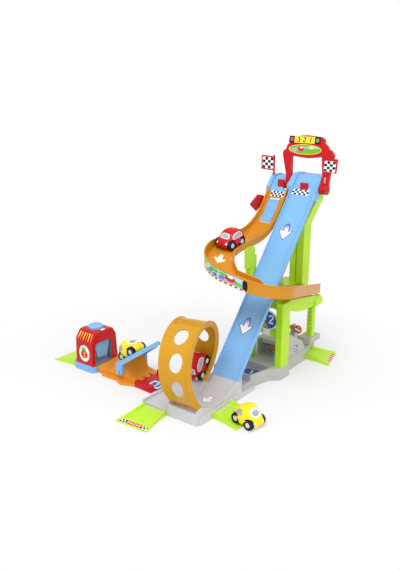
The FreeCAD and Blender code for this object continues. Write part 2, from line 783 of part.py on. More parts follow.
def tower():
    """Green frame: columns, beams, deck and the tall column under the platform."""
    deck_top = "(deck_z + deck_height)"
    deck_front = "(column_back + 8)"
    deck = prism("deck_plate", "XY", [
        ("tower_left - 38", deck_front, 5),
        (18, deck_front, 5),
        (18, 190),
        (-2, 238),
        (-19, "tower_front - 15"),
        (-19, "tower_front + 9"),
        ("tower_right", "tower_front + 9"),
        ("tower_right", "tower_back + 2", 5),
        ("tower_left - 38", "tower_back + 2", 5),
    ], "deck_z", deck_top)
    clip = prism("lane_clip", "XZ", [
        (-46, deck_top),
        (-46, f"{deck_top} + 42", 9),
        (-16, f"{deck_top} + 42", 9),
        (-16, deck_top),
    ], 234, 252)
    front_beam = block("deck_beam", ("tower_left - 38", 18), ("column_back", deck_front),
                       ("deck_z", deck_top))
    piece(join("upper_deck_clip", deck, clip, front_beam), "upper_deck")
    under = "platform_depth"
    column = prism("tower_front_shape", "XZ", [
        ("tower_left", deck_top),
        ("tower_right", deck_top),
        ("tower_right", "deck_z + 200", 30),
        (f"{HALF} - 6", "deck_z + 283", 25),
        (f"{HALF} - 6", "platform_top"),
        ("tower_left", "platform_top"),
    ], "tower_front", "tower_back")
    head = prism("tower_head_tool", "YZ", [
        ("tower_front - 1", below_rim("tower_front - 1", under)),
        (crest("platform_top - platform_depth", under), "platform_top - platform_depth"),
        ("tower_back + 1", "platform_top - platform_depth"),
        ("tower_back + 1", "platform_top + 40"),
        ("tower_front - 1", "platform_top + 40"),
    ], "tower_left - 1", HALF)
    groove = block("tower_groove", ("tower_left + 20", "tower_left + 26"), ("tower_front - 1", "tower_front + 4"),
                   (deck_top, "platform_top"))
    piece(cut("tower_column", column, head, groove), "tower_column")
    piece(prism("front_column", "XY", [
        ("column_left", "column_front", 4),
        ("column_right", "column_front", 4),
        ("column_right", "column_back", 4),
        ("column_left", "column_back", 4),
    ], "rear_top", "deck_z + 22"), "front_column")
    post = prism("left_post_body", "XY", [
        ("post_left", 110, 4),
        ("post_left + 20", 110, 4),
        ("post_left + 20", 142, 4),
        ("post_left", 142, 4),
    ], "rear_top", "deck_z + 140")
    tip = prism("left_post_tip", "YZ", [
        (80, "deck_z + 110"),
        (126, "deck_z + 110"),
        (126, "deck_z + 172", 11),
        (80, "deck_z + 172", 11),
    ], -50, -44)
    skirt = prism("left_post_foot", "XY", [
        ("post_left", 106, 4),
        ("post_left + 20", 106, 4),
        ("post_left + 20", 150, 4),
        ("post_left", 150, 4),
    ], "rear_top", "rear_top + 60")
    piece(join("left_post", post, tip, skirt), "left_post")
    piece(prism("right_post", "XY", [
        (34, 317, 3),
        (54, 317, 3),
        (54, 338, 3),
        (34, 338, 3),
    ], "rear_top + 24", "deck_z - 52"), "right_post")
    piece(prism("rear_post", "XY", [
        ("tower_left - 36", 326, 3),
        ("tower_left - 14", 326, 3),
        ("tower_left - 14", 350, 3),
        ("tower_left - 36", 350, 3),
    ], "rear_top", "deck_z"), "rear_post")
    piece(block("cross_beam", ("post_left + 20", "column_left"), (112, 138), ("rear_top + 89", "rear_top + 103")),
          "cross_beam")
    piece(prism("front_arch", "XZ", [
        ("post_left + 20", "deck_z + 12"),
        ("post_left + 20", "deck_z - 30", 2),
        ("post_left + 34", "deck_z - 8", 12),
        ("column_left - 16", "deck_z - 8", 12),
        ("column_left", "deck_z - 34", 2),
        ("column_left", "deck_z + 12"),
    ], "column_back - 16", "column_back"), "front_arch")
    beam = prism("side_beam_body", "YZ", [
        ("column_back", "deck_z - 4"),
        ("column_back", "deck_z + 22"),
        (190, "deck_z + 14"),
        (316, "deck_z - 8", 8),
        (316, "deck_z - 37"),
        (250, "deck_z - 37"),
        (190, "deck_z - 27"),
    ], "beam_right - 18", "beam_right")
    end = rod("side_beam_end", "y", 18, 46, "beam_right - 12", 300, "deck_z - 30")
    hole = rod("side_beam_screw_hole", "y", 2.5, 6, "beam_right - 12", 299, "deck_z - 30")
    brace = block("side_brace", (-44, "beam_right - 18"), (300, 318), ("deck_z - 26", "deck_z - 9"))
    brace_head = block("side_brace_head", (-44, -22), (300, 318), ("deck_z - 9", "deck_z"))
    piece(cut("side_beam", join("side_beam_solid", beam, end, brace, brace_head), hole), "side_beam")


def oval(name, x, z, half_x, half_z, low_y, high_y):
    """Upright oval plate, wider than it is high."""
    centre = V(x, high_y, z)
    ellipse = Part.Ellipse(centre + V(half_x, 0, 0), centre + V(0, 0, half_z), centre).toShape()
    return shaped(name, Part.Face(Part.Wire([ellipse])).extrude(V(0, low_y - high_y, 0)))


def signs():
    """Oval parking sign on the cross beam, and the left flag on its pole."""
    face = oval("sign_face", 14, size("rear_top") + 135, 34, 29, 108, 113)
    neck = block("sign_neck", (3, 25), (108, 111.5), ("rear_top + 89", "rear_top + 112"))
    piece(join("parking_sign", face, neck), "parking_sign")
    pole = rod("flag_pole", "z", 3, 60, FLAG_X, FLAG_Y, "platform_top - left_drop")
    cloth = prism("flag_cloth", "XZ", [
        (-172, "platform_top + 4", 3),
        (-123.5, "platform_top + 2", 1),
        (-123.5, "platform_top + 46", 1),
        (-172, "platform_top + 48", 3),
    ], 350.5, 353.5)
    base = rod("flag_socket", "z", 4.5, 4, FLAG_X, FLAG_Y, "platform_top - left_drop")
    piece(join("left_flag", pole, cloth, base), "left_flag")


def ramp(label, x, y, turn, width, flare, length, height):
    """Flared green ramp that slopes from a track down to the floor; its own -Y points outward."""
    kerb = 7
    wall = 4
    tip_height = 1.6
    sections = []
    for share in (0, 0.35, 0.7, 1):
        half = (width + (flare - width) * share ** 1.5) / 2
        top = height + (tip_height - height) * share
        rise = kerb * (1 - 0.75 * share)
        place = -length * share
        sections.append([
            V(-half, place, 0),
            V(half, place, 0),
            V(half, place, top + rise),
            V(half - wall, place, top + rise),
            V(half - wall - 2, place, top),
            V(-half + wall + 2, place, top),
            V(-half + wall, place, top + rise),
            V(-half, place, top + rise),
        ])
    piece(shaped(label, loft(sections), V(x, y, 0), FreeCAD.Rotation(V(0, 0, 1), turn)), label)


def ramps():
    front = size("base_front_y")
    ramp("finish_ramp", -size("lane_pitch") + 0.5, front - 2, 2.8, size("ramp_width") - 14, size("ramp_flare"),
         size("ramp_length"), 12)
    ramp("side_ramp", size("base_right"), -168.5, 90, size("ramp_width") - 6, size("ramp_flare") + 10,
         size("ramp_length") - 14, 14)
    ramp("rear_ramp", 50, 311.6, 104.5, size("ramp_width") - 20, size("ramp_flare") + 9, size("ramp_length") - 22, 14)
    ramp("launcher_ramp", size("launcher_left"), (size("launcher_front") + size("launcher_back")) / 2, -90,
         size("ramp_width"), size("ramp_flare"), size("ramp_length") - 12, 14)


def connector():
    """Red joint between the bridge's base and the grey base."""
    plate = prism("connector_plate", "XY", [
        ("bridge_x + 56", "bridge_front + 5", 2),
        (-171, "bridge_front", 2),
        (-171, "bridge_front + 43", 2),
        ("base_left", "bridge_front + 43"),
        ("base_left", "bridge_back"),
        ("bridge_x + 56", "bridge_back"),
    ], 0, 9)
    near = block("connector_kerb", ("bridge_x + 56", -172), ("bridge_front + 4", "bridge_front + 16"), (0, 19))
    far = block("connector_far_kerb", ("bridge_x + 56", "base_left"), ("bridge_back - 9", "bridge_back"), (0, 19))
    piece(join("red_connector", plate, near, far), "red_connector")


def tipping_bridge():
    """Orange base with its crest and down ramp, and the blue bridge that leans on the crest."""
    rail = 10
    inner_front = f"(bridge_front + {rail} + 0.6)"
    inner_back = f"(bridge_back - {rail} - 0.6)"
    hump = prism("base_hump", "XZ", [
        ("launcher_right", 0),
        ("launcher_right", 22),
        ("bridge_x - 52", 22, 20),
        ("bridge_x - 10", 52, 10),
        ("bridge_x + 4", 58, 4),
        ("bridge_x + 28", 18, 12),
        ("bridge_x + 50", 9, 20),
        ("bridge_x + 56", 9),
        ("bridge_x + 56", 0),
    ], inner_front, inner_back)
    foot = prism("base_foot", "XY", [
        ("launcher_right", "bridge_front + 26"),
        (-365, "bridge_front", 4),
        ("bridge_x - 16", "bridge_front", 4),
        ("bridge_x + 13", "bridge_front - 12", 9),
        ("bridge_x + 56", "bridge_front + 4"),
        ("bridge_x + 56", "bridge_back"),
        ("bridge_x + 13", "bridge_back + 10", 9),
        ("bridge_x - 16", "bridge_back"),
        ("launcher_right", "bridge_back - 6"),
    ], 0, 9)
    pin_bore = rod("bridge_pin_bore", "y", "shaft_radius", 140, "bridge_x", "bridge_front - 20", "bridge_z")
    piece(cut("bridge_base", join("bridge_base_solid", hump, foot), pin_bore), "bridge_base")
    pin = rod("bridge_pin_rod", "y", "shaft_radius", "bridge_back - bridge_front + 4", "bridge_x",
              "bridge_front - 2", "bridge_z")
    piece(pin, "bridge_pin")
    # The rail rises at the bridge's angle from its bend above the foot.
    rise = "tan(bridge_angle)"
    bend_x = "(bridge_x - 13)"
    bend_z = "(bridge_z + 27)"

    def rail_end(length):
        return f"({bend_x} + {length} * cos(bridge_angle))", f"({bend_z} + {length} * sin(bridge_angle))"

    def rail_outline(length):
        end_x, end_z = rail_end(length)
        return [
            (bend_x, bend_z, 5),
            (bend_x, "bridge_z - 7", 6),
            ("bridge_x + 11", "bridge_z - 7", 6),
            ("bridge_x + 11", f"{bend_z} + 24 * {rise} - 17"),
            (f"{end_x} + 6", f"{end_z} - 9", 4),
            (end_x, end_z, 4),
        ]

    near = prism("near_rail", "XZ", rail_outline("bridge_length"), "bridge_front", f"bridge_front + {rail}")
    far = prism("far_rail", "XZ", rail_outline("deck_length"), f"bridge_back - {rail}", "bridge_back")
    start_x = "(bridge_x + 9)"
    deck_x, deck_z = rail_end("deck_length")
    deck = prism("bridge_deck", "XZ", [
        (start_x, f"{bend_z} + ({start_x} - {bend_x}) * {rise} - 7"),
        (start_x, f"{bend_z} + ({start_x} - {bend_x}) * {rise} - 11"),
        (deck_x, f"{deck_z} - 11"),
        (deck_x, f"{deck_z} - 7"),
    ], f"bridge_front + {rail} - 1", f"bridge_back - {rail} + 1")
    holes = rod("rail_bore", "y", "shaft_radius + running_gap", 140, "bridge_x", "bridge_front - 20", "bridge_z")
    piece(cut("tipping_bridge", join("bridge_solid", near, far, deck), holes), "tipping_bridge")


BUTTON_X = -431
KICKER_X = -404
FAR_LEG_LEFT = -417
KICKER_Z = 85
WELL_FLOOR = "(launcher_opening + 14)"


def launcher():
    """Red arch over a slate floor on a blue base, with the button, its spring and the kicker."""
    middle = "((launcher_front + launcher_back) / 2)"
    base = prism("launcher_base_body", "XY", [
        ("launcher_left", "launcher_front + 6", 5),
        ("launcher_left + 10", "launcher_front", 5),
        ("launcher_right - 8", "launcher_front", 5),
        ("launcher_right", "launcher_front + 10", 3),
        ("launcher_right", "launcher_back + 5", 5),
        ("launcher_left", "launcher_back + 5", 5),
    ], 0, 22)
    piece(base, "launcher_base")
    piece(block("launcher_floor", ("launcher_left", "launcher_right"), ("launcher_front + 12.5", "launcher_back - 24.5"),
                (22, 25)), "launcher_floor")
    housing = prism("housing_body", "YZ", [
        ("launcher_front", 22),
        ("launcher_front + 12", 22),
        ("launcher_front + 12", "launcher_opening", 16),
        ("launcher_back - 24", "launcher_opening", 16),
        ("launcher_back - 24", 22),
        ("launcher_back", 22),
        ("launcher_back - 6", "launcher_top - 24", 12),
        ("launcher_back - 20", "launcher_top", 12),
        ("launcher_front + 20", "launcher_top", 16),
        ("launcher_front + 2", "launcher_top - 26", 14),
    ], "launcher_left + 16", "launcher_right - 2")
    top_well = rod("button_well", "z", "button_radius + 0.6", 24, BUTTON_X, middle, WELL_FLOOR)
    stem_bore = rod("stem_bore", "z", "button_stem_radius + running_gap", 40, BUTTON_X, middle, "launcher_opening - 10")
    axle_bore = rod("kicker_axle_bore", "y", "axle_radius + 0.5", "launcher_back - launcher_front - 26", KICKER_X,
                    "launcher_front + 7", KICKER_Z)
    far_gap = block("far_gap", ("launcher_left", FAR_LEG_LEFT), ("launcher_back - 26", "launcher_back + 2"),
                    (20, "launcher_opening - 15"))
    piece(cut("launcher_housing", housing, top_well, stem_bore, axle_bore, far_gap), "launcher_housing")
    cap_floor = f"({WELL_FLOOR} + button_spring_length + 0.2)"
    cap = rod("button_cap", "z", "button_radius", "button_height", BUTTON_X, middle, cap_floor)
    stem = rod("button_stem", "z", "button_stem_radius", f"{cap_floor} - launcher_opening - 11", BUTTON_X, middle,
               "launcher_opening + 12")
    dome = softened("button_dome", cap, 5, lambda edge: edge.BoundBox.ZMin > size(f"{cap_floor} + 5"))
    piece(join("launch_button", dome, stem), "launch_button")
    spring = rod("spring_body", "z", 10, "button_spring_length", BUTTON_X, middle, f"{WELL_FLOOR} + 0.1")
    spring_hole = rod("spring_space", "z", 7, 30, BUTTON_X, middle, f"{WELL_FLOOR} - 5")
    piece(cut("button_spring", spring, spring_hole), "button_spring")
    piece(rod("kicker_axle", "y", "axle_radius + 0.5", "launcher_back - launcher_front - 26", KICKER_X,
              "launcher_front + 7", KICKER_Z), "kicker_axle")
    plate = prism("kicker_plate", "YZ", [
        ("launcher_front + 15", KICKER_Z),
        ("launcher_back - 27", KICKER_Z),
        ("launcher_back - 30", "bridge_z + 45"),
        ("launcher_back - 40", "bridge_z + 10", 3),
        ("launcher_front + 30", "bridge_z + 10", 3),
        ("launcher_front + 19", "bridge_z + 45"),
    ], KICKER_X - 2.5, KICKER_X + 2.5)
    barrel = rod("kicker_barrel", "y", 5.5, "launcher_back - launcher_front - 52", KICKER_X, "launcher_front + 20",
                 KICKER_Z)
    kicker_bore = rod("kicker_bore", "y", "axle_radius + 0.5 + running_gap", 200, KICKER_X, "launcher_front - 20",
                      KICKER_Z)
    piece(cut("kicker", join("kicker_solid", plate, barrel), kicker_bore), "kicker")


BARRIER_X = 38
BARRIER_Z = 122


def barrier():
    """Grey post with the orange arm and its round disc."""
    post = prism("barrier_post_body", "XZ", [
        (BARRIER_X - 9, "rear_top"),
        (BARRIER_X + 10, "rear_top"),
        (BARRIER_X + 7, BARRIER_Z + 7, 6),
        (BARRIER_X - 7, BARRIER_Z + 7, 6),
    ], 222, 234)
    pin_hole = rod("barrier_pin_hole", "y", "axle_radius + running_gap", 30, BARRIER_X, 210, BARRIER_Z)
    piece(cut("barrier_post", post, pin_hole), "barrier_post")
    arm = prism("barrier_arm_body", "XZ", [
        (BARRIER_X - 30, BARRIER_Z + 6, 3),
        (BARRIER_X - 30, BARRIER_Z - 4, 3),
        (BARRIER_X + 16, BARRIER_Z - 7),
        (BARRIER_X + 16, BARRIER_Z + 4),
    ], 217, 221.5)
    disc = rod("barrier_disc", "y", 13, 5, BARRIER_X + 20, 216.5, BARRIER_Z - 3)
    pin = rod("barrier_pin", "y", "axle_radius", 16, BARRIER_X, 218, BARRIER_Z)
    piece(join("barrier_arm", arm, disc, pin), "barrier_arm")


def start_arch():
    """Red arch on its shaft, the board on it, the right flag, and the stopper bar with two fingers."""
    half = "(arch_thick / 2)"
    hub_radius = 16
    frame = prism("arch_outline", "XZ", [
        (46, -6),
        (68, -6),
        (70, 58),
        (75, 94),
        (75, 104, 5),
        (66, 115, 5),
        (56, 119),
        (52, 127),
        (40, 136, 3),
        (39, 146, 4),
        (30, 153, 6),
        (-19, 157, 120),
        (-68, 150, 6),
        (-81, 143, 3),
        (-79, 130),
        (-85, 124, 4),
        (-88, 112),
        (-97, 105, 5),
        (-98, 96, 5),
        (-78, 34),
        (-77, -6),
        (-61, -6),
        (-61, 40),
        (-66, 92),
        (-10, 88, 100),
        (37, 95),
        (46, 40),
    ], f"-{half}", half)
    right_hub = rod("right_hub", "x", hub_radius, 22, 44.6, 0, 0)
    left_hub = rod("left_hub", "x", 9, 16, -77, 0, 0)
    bore = rod("hub_bore", "x", "shaft_radius", 200, -120, 0, 0)
    body = cut("arch_local", join("arch_solid", frame, right_hub, left_hub), bore)
    board = prism("board_local", "XZ", [
        (-80, 131, 3),
        (28, 133, 3),
        (27, 149, 3),
        (-20, 154, 90),
        (-78, 146, 3),
    ], f"-{half} - 2", f"-{half}")
    flag = prism("flag_local", "XZ", [
        (46, 55, 3),
        (92, 49, 3),
        (92, 92, 3),
        (46, 89, 3),
    ], f"-{half} - 3", f"-{half}")
    turn = FreeCAD.Rotation(V(1, 0, 0), -size("arch_lean"))
    base = V(0, size("pivot_y"), size("pivot_z"))
    doc.recompute()
    for label, local in (("start_arch", body), ("light_board", board), ("right_flag", flag)):
        piece(shaped(label, local.Shape.copy(), base, turn), label)
    piece(rod("arch_shaft_rod", "x", "shaft_radius", f"66 - (platform_left + 3)", "platform_left + 3", "pivot_y",
              "pivot_z"), "arch_shaft")
    bar = block("stopper_bar_body", (-99, 8), (326, 334), (500, 510))
    elbow = block("stopper_elbow", (-99, -62), (334, 340), (500, 510))
    right = block("right_finger", (-16, 9), (326, 332), (505, 547))
    left = block("left_finger", (-100, -78), (334, 340), (500, 549))
    piece(softened("stopper_bar_round", join("stopper_bar_solid", bar, elbow, right, left), 2,
                   lambda edge: edge.BoundBox.ZMin > 546 and edge.BoundBox.YLength < 0.01),
          "stopper_bar")


def car_templates():
    """Shell and wheelset of one car, standing on the floor with its nose towards +X."""
    half = "(car_width / 2)"
    body = prism("car_side", "XZ", [
        ("-car_length / 2 + 4", 7, 2),
        ("-car_length / 2", 22, 9),
        ("-car_length / 2 + 9", 39, 9),
        ("-car_length / 2 + 23", 50, 12),
        ("car_length / 2 - 37", 50, 12),
        ("car_length / 2 - 16", 35, 12),
        ("car_length / 2 - 3", 30, 5),
        ("car_length / 2", 17, 5),
        ("car_length / 2 - 4", 7, 2),
    ], f"-{half}", half)
    doc.recompute()
    rounded = softened("car_rounded", body, 7, lambda edge: edge.BoundBox.YLength < 0.01 and edge.BoundBox.ZMin > 8
                       and abs(abs(edge.BoundBox.YMin) - size(half)) < 0.01)
    tools = []
    for end, sign in (("front", 1), ("rear", -1)):
        for side, place in (("right", f"-{half} - 1"), ("left", f"{half} - 13")):
            tools.append(rod(f"{end}_{side}_well", "y", "wheel_radius + 2.5", 14, f"{sign} * wheel_base / 2", place,
                             "wheel_radius"))
        tools.append(rod(f"{end}_axle_bore", "y", "axle_radius + running_gap", 80, f"{sign} * wheel_base / 2", -40,
                         "wheel_radius"))
    shell = cut("car_shell_template", rounded, *tools)
    track = "(car_width / 2 + 3)"
    near = rod("near_wheel", "y", "wheel_radius", "wheel_width", 0, f"-{track}", "wheel_radius")
    far = rod("far_wheel", "y", "wheel_radius", "wheel_width", 0, f"{track} - wheel_width", "wheel_radius")
    axle = rod("car_axle", "y", "axle_radius", f"2 * {track} - 2", 0, f"-{track} + 1", "wheel_radius")
    soft_near = softened("near_tyre", near, 2, lambda edge: edge.Length > 60)
    soft_far = softened("far_tyre", far, 2, lambda edge: edge.Length > 60)
    wheels = join("wheelset_template", soft_near, soft_far, axle)
    doc.recompute()
    return shell, wheels


def cars(shell, wheels):
    """Four cars: two red ones on the spiral and in the loop, two yellow ones on the bridge and the floor."""
    reach = size("wheel_base") / 2
    twist_room = 0.8
    ring = size("loop_radius") - size("skin") - size("seat_gap") - twist_room
    loop_car_angle = 302.3
    lift = ((ring - size("wheel_radius")) ** 2 - reach ** 2) ** 0.5 + size("wheel_radius")
    loop_turn = radians(loop_car_angle)
    beside = 6.6
    lean = loop_lean(loop_car_angle)
    loop_base = V(loop_middle(loop_car_angle) + beside, size("loop_y") + beside * lean - lift * sin(loop_turn),
                  size("loop_z") - lift * cos(loop_turn))
    upright = FreeCAD.Rotation(V(0, 0, 1), -90)
    loop_rotation = FreeCAD.Rotation(V(0, 0, 1), degrees(atan(lean))) * FreeCAD.Rotation(V(1, 0, 0), -loop_car_angle)
    loop_rotation = loop_rotation * upright
    spiral_y = 66
    slope = degrees(atan((floor_height(spiral_y + reach) - floor_height(spiral_y - reach)) / (2 * reach)))
    leg = straight_stations(spiral_y)[0][3]
    tilt = degrees(atan((bank(leg) + INNER_FLOOR - outer_floor(leg)) / (lane_width_at(leg) - 2 * size("skin"))))
    spiral_base = V(-size("lane_pitch"), spiral_y, floor_height(spiral_y) + 2.6)
    spiral_rotation = FreeCAD.Rotation(V(1, 0, 0), slope) * FreeCAD.Rotation(V(0, 1, 0), tilt) * upright
    spiral_rotation = spiral_rotation * FreeCAD.Rotation(V(0, 0, 1), -6)
    pitch = radians(size("bridge_angle"))
    along = 28
    deck_start = V(size("bridge_x") - 13, 0, size("bridge_z") + 27 - 7)
    bridge_y = (size("bridge_front") + size("bridge_back")) / 2
    gap = size("seat_gap") + 0.2
    bridge_base = deck_start + V(along * cos(pitch) - gap * sin(pitch), bridge_y, along * sin(pitch) + gap * cos(pitch))
    bridge_rotation = FreeCAD.Rotation(V(0, 1, 0), -size("bridge_angle"))
    # The floor car has its rear wheels still on the side ramp's tip.
    rear_rise = 4.9
    nose_down = degrees(atan(rear_rise / (2 * reach)))
    floor_base = V(142.2, -178.4, rear_rise / 2 + size("seat_gap"))
    floor_rotation = FreeCAD.Rotation(V(0, 0, 1), -8) * FreeCAD.Rotation(V(0, 1, 0), nose_down)
    places = [
        ("spiral_car", spiral_base, spiral_rotation),
        ("loop_car", loop_base, loop_rotation),
        ("bridge_car", bridge_base, bridge_rotation),
        ("floor_car", floor_base, floor_rotation),
    ]
    for name, base, rotation in places:
        piece(shaped(f"{name}_shell", shell.Shape.copy(), base, rotation), f"{name}_shell")
        for end, offset in (("front", reach), ("rear", -reach)):
            centre = base + rotation.multVec(V(offset, 0, 0))
            piece(shaped(f"{name}_{end}_wheels", wheels.Shape.copy(), centre, rotation), f"{name}_{end}_wheels")


def screws():
    """Screw heads in the garage, the corner block and the posts."""
    spots = [(24, 296.5, "rear_top + 14"), (-30, 148.5, "rear_top + 48"), (53, 156.2, "rear_top + 60")]
    heads = []
    for number, (x, y, z) in enumerate(spots, start=1):
        heads.append(rod(f"screw_{number}", "y", 2.4, 3.5, x, y, z))
    compound = doc.addObject("Part::Compound", "screw_heads")
    compound.Links = heads
    piece(compound, "screws")


front_base()
rear_base()
slide_section("slide_lower", 0, "slide_length / 2")
slide_section("slide_upper", "slide_length / 2", "slide_length")
platform()
spiral()
trapdoor()
loop_half("loop_front_half", size("loop_seat"), 180)
loop_half("loop_rear_half", 180, 360 - size("loop_seat"))
tower()
signs()
ramps()
connector()
tipping_bridge()
launcher()
barrier()
start_arch()
car_shell, car_wheels = car_templates()
cars(car_shell, car_wheels)
screws()
doc.recompute()

failed = [thing.Name for thing in doc.Objects if "Invalid" in thing.State or "Error" in thing.State]
failed += [thing.Label for thing in PIECES
           if thing.Shape.isNull() or not thing.Shape.isValid() or not thing.Shape.Solids]
if failed:
    raise RuntimeError(f"failed: {', '.join(failed)}")
os.makedirs("parts", exist_ok=True)
for thing in PIECES:
    thing.Shape.exportStep(os.path.join("parts", f"{thing.Label}.step"))
print(f"{len(PIECES)} pieces written")
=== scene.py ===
"""Toy race tower, dressed: plastics, rolled rims, prints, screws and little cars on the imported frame."""
import json
import math

import bmesh
import bpy
from bpy.props import FloatProperty, FloatVectorProperty, PointerProperty
from bpy.types import Operator, Panel, PropertyGroup
from mathutils import Matrix, Vector
from mathutils.bvhtree import BVHTree

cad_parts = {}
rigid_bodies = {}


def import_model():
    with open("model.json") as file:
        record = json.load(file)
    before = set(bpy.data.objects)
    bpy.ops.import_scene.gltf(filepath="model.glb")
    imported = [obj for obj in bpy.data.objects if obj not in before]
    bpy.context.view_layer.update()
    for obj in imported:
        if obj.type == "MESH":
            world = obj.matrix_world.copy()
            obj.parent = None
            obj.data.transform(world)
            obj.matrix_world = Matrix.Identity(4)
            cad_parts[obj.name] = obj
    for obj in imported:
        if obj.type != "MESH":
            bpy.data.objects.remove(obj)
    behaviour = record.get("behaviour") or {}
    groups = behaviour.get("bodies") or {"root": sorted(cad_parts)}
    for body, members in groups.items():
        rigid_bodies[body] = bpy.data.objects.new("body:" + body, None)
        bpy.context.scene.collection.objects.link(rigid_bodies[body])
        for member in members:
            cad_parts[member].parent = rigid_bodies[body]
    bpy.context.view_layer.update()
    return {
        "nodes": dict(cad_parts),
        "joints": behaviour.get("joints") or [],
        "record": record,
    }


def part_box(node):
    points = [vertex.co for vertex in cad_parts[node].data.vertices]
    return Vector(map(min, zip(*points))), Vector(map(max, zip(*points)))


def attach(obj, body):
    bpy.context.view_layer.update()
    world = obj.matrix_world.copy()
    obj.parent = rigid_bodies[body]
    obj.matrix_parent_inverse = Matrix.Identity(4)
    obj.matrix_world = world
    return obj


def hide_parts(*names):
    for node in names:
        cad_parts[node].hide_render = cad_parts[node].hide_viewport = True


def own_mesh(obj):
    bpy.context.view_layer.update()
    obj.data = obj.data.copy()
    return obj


for leftover in list(bpy.data.objects):
    bpy.data.objects.remove(leftover)
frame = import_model()

bl_info = {
    "name": "Toy Race Tower",
    "version": (1, 0, 0),
    "blender": (4, 5, 0),
    "location": "View3D > Sidebar > Race Tower",
    "description": "Dresses the packed frame of a toy race tower with plastics, prints, trim and cars",
    "category": "Object",
}

MM = 0.001
WHITE = (1, 1, 1, 1)


# Sizes and colours that a user would change

def tint(label, text, red, green, blue):
    return FloatVectorProperty(name=label, description=text, subtype="COLOR_GAMMA", size=3, min=0, max=1,
                               default=(red / 255, green / 255, blue / 255))


def length(label, text, millimetres):
    return FloatProperty(name=label, description=text, unit="LENGTH", default=millimetres * MM)


class RaceTowerColours(PropertyGroup):
    """Colours of the moulded plastics and of the prints."""
    sky_blue: tint("Sky blue", "Slide, platform, flap, bridge, button and launcher base", 128, 184, 236)
    orange: tint("Orange", "Spiral lane and barrier arm", 208, 138, 30)
    bridge_orange: tint("Bridge orange", "Base of the tipping bridge", 232, 148, 38)
    loop_amber: tint("Loop amber", "Both halves of the loop", 206, 150, 26)
    lime: tint("Lime", "Columns, posts, beams and deck", 186, 232, 34)
    ramp_lime: tint("Ramp lime", "Floor ramps", 190, 236, 48)
    red: tint("Red", "Start arch, flags, paddle, launcher housing, connector and two cars", 198, 12, 24)
    yellow: tint("Yellow", "Two of the cars", 250, 228, 30)
    base_grey: tint("Base grey", "Front base with both run-outs", 206, 204, 208)
    rear_grey: tint("Rear grey", "Rear base, garage, corner block and barrier post", 190, 189, 184)
    # On the right post's notches, slate is painted shade: flat dark marks where the recesses would lie in
    # shadow.
    slate: tint("Slate", "Launcher floor, the lining of its opening and the post's notches", 104, 120, 142)
    tyre: tint("Tyre black", "Tyres", 22, 22, 24)
    steel: tint("Steel", "Shafts, pins, screws and the button's coil", 160, 162, 166)
    paper: tint("Print white", "White ground of the prints", 246, 247, 248)
    ink: tint("Print black", "Black of the checkers", 20, 20, 24)
    print_blue: tint("Print blue", "Blue of the signs", 62, 92, 178)
    print_green: tint("Print green", "Green of the prints", 112, 186, 58)
    print_violet: tint("Print violet", "Shaded tail of the arrows", 122, 122, 208)
    print_deep: tint("Print deep blue", "Outlines of the arrows", 66, 72, 150)
    glass: tint("Window grey", "Car windows", 168, 170, 176)
    hub: tint("Hub", "Wheel hubs", 214, 216, 218)


class RaceTowerSizes(PropertyGroup):
    """Sizes of the trim that the frame doesn't carry."""
    print_step: length("Print step", "Height of one printed layer", 0.14)
    print_grid: length("Print grid", "Longest edge inside a print that follows a curve", 4)
    lane_rim: length("Lane rim", "Radius of the rolled rims of the spiral lane", 2.5)
    loop_rim: length("Loop rim", "Radius of the rolled rims of the loop", 2.3)
    screw: length("Screw", "Radius of a screw's head", 2.6)


def colours():
    return bpy.context.scene.race_tower_colours


def sizes():
    return bpy.context.scene.race_tower_sizes


# Materials

FIXED_COLOURS = {
    "print_red": (214, 30, 34),
    "print_orange": (240, 150, 40),
    "print_yellow": (248, 222, 70),
    "print_sky": (178, 216, 232),
    "print_grey": (176, 178, 184),
    "print_mid_blue": (84, 136, 206),
    "lamp_green": (70, 190, 60),
    "lamp_red": (222, 60, 70),
}
GLOSSY = {"rough": 0.3}
PRINTED = {"rough": 0.4, "mottle": 0.02, "grain": 0.02}
SATIN = {"rough": 0.42, "grain": 0.09, "grain_scale": 900}
FINISHES = {
    "base_grey": SATIN, "rear_grey": SATIN, "slate": SATIN,
    "paper": PRINTED, "ink": PRINTED,
    "tyre": {"rough": 0.6, "mottle": 0.12, "grain": 0.25, "grain_scale": 700, "gloss": 0.35},
    "steel": {"rough": 0.36, "mottle": 0.06, "grain": 0.1, "grain_scale": 2600, "metal": 0.85},
    "glass": {"rough": 0.22, "mottle": 0.05, "grain": 0.01, "gloss": 0.6},
}
MELT_SCALE = 14
SMUDGE_SCALE = 60
GRAIN_DEPTH = 0.0003


def shade(colour, factor):
    """Linear colour with alpha, made lighter or darker by a factor."""
    plain = [part / 12.92 if part <= 0.04045 else ((part + 0.055) / 1.055) ** 2.4 for part in colour]
    return [min(1, part * factor) for part in plain] + [1]


def feed(tree, made, feeds):
    """Sets a shader node's inputs, each to a value or to the socket that it follows."""
    for key, value in feeds.items():
        if isinstance(value, bpy.types.NodeSocket):
            tree.links.new(value, made.inputs[key])
        else:
            made.inputs[key].default_value = value


def node(tree, kind, feeds=None, **settings):
    """New shader node, placed beside the ones before it; "Kind.Output" gives that output's socket."""
    kind, _, output = kind.partition(".")
    made = tree.nodes.new(f"ShaderNode{kind}")
    made.location = (-200 * len(tree.nodes), 200 * (len(tree.nodes) % 3))
    for key, value in settings.items():
        setattr(made, key, value)
    feed(tree, made, feeds or {})
    return made.outputs[output] if output else made


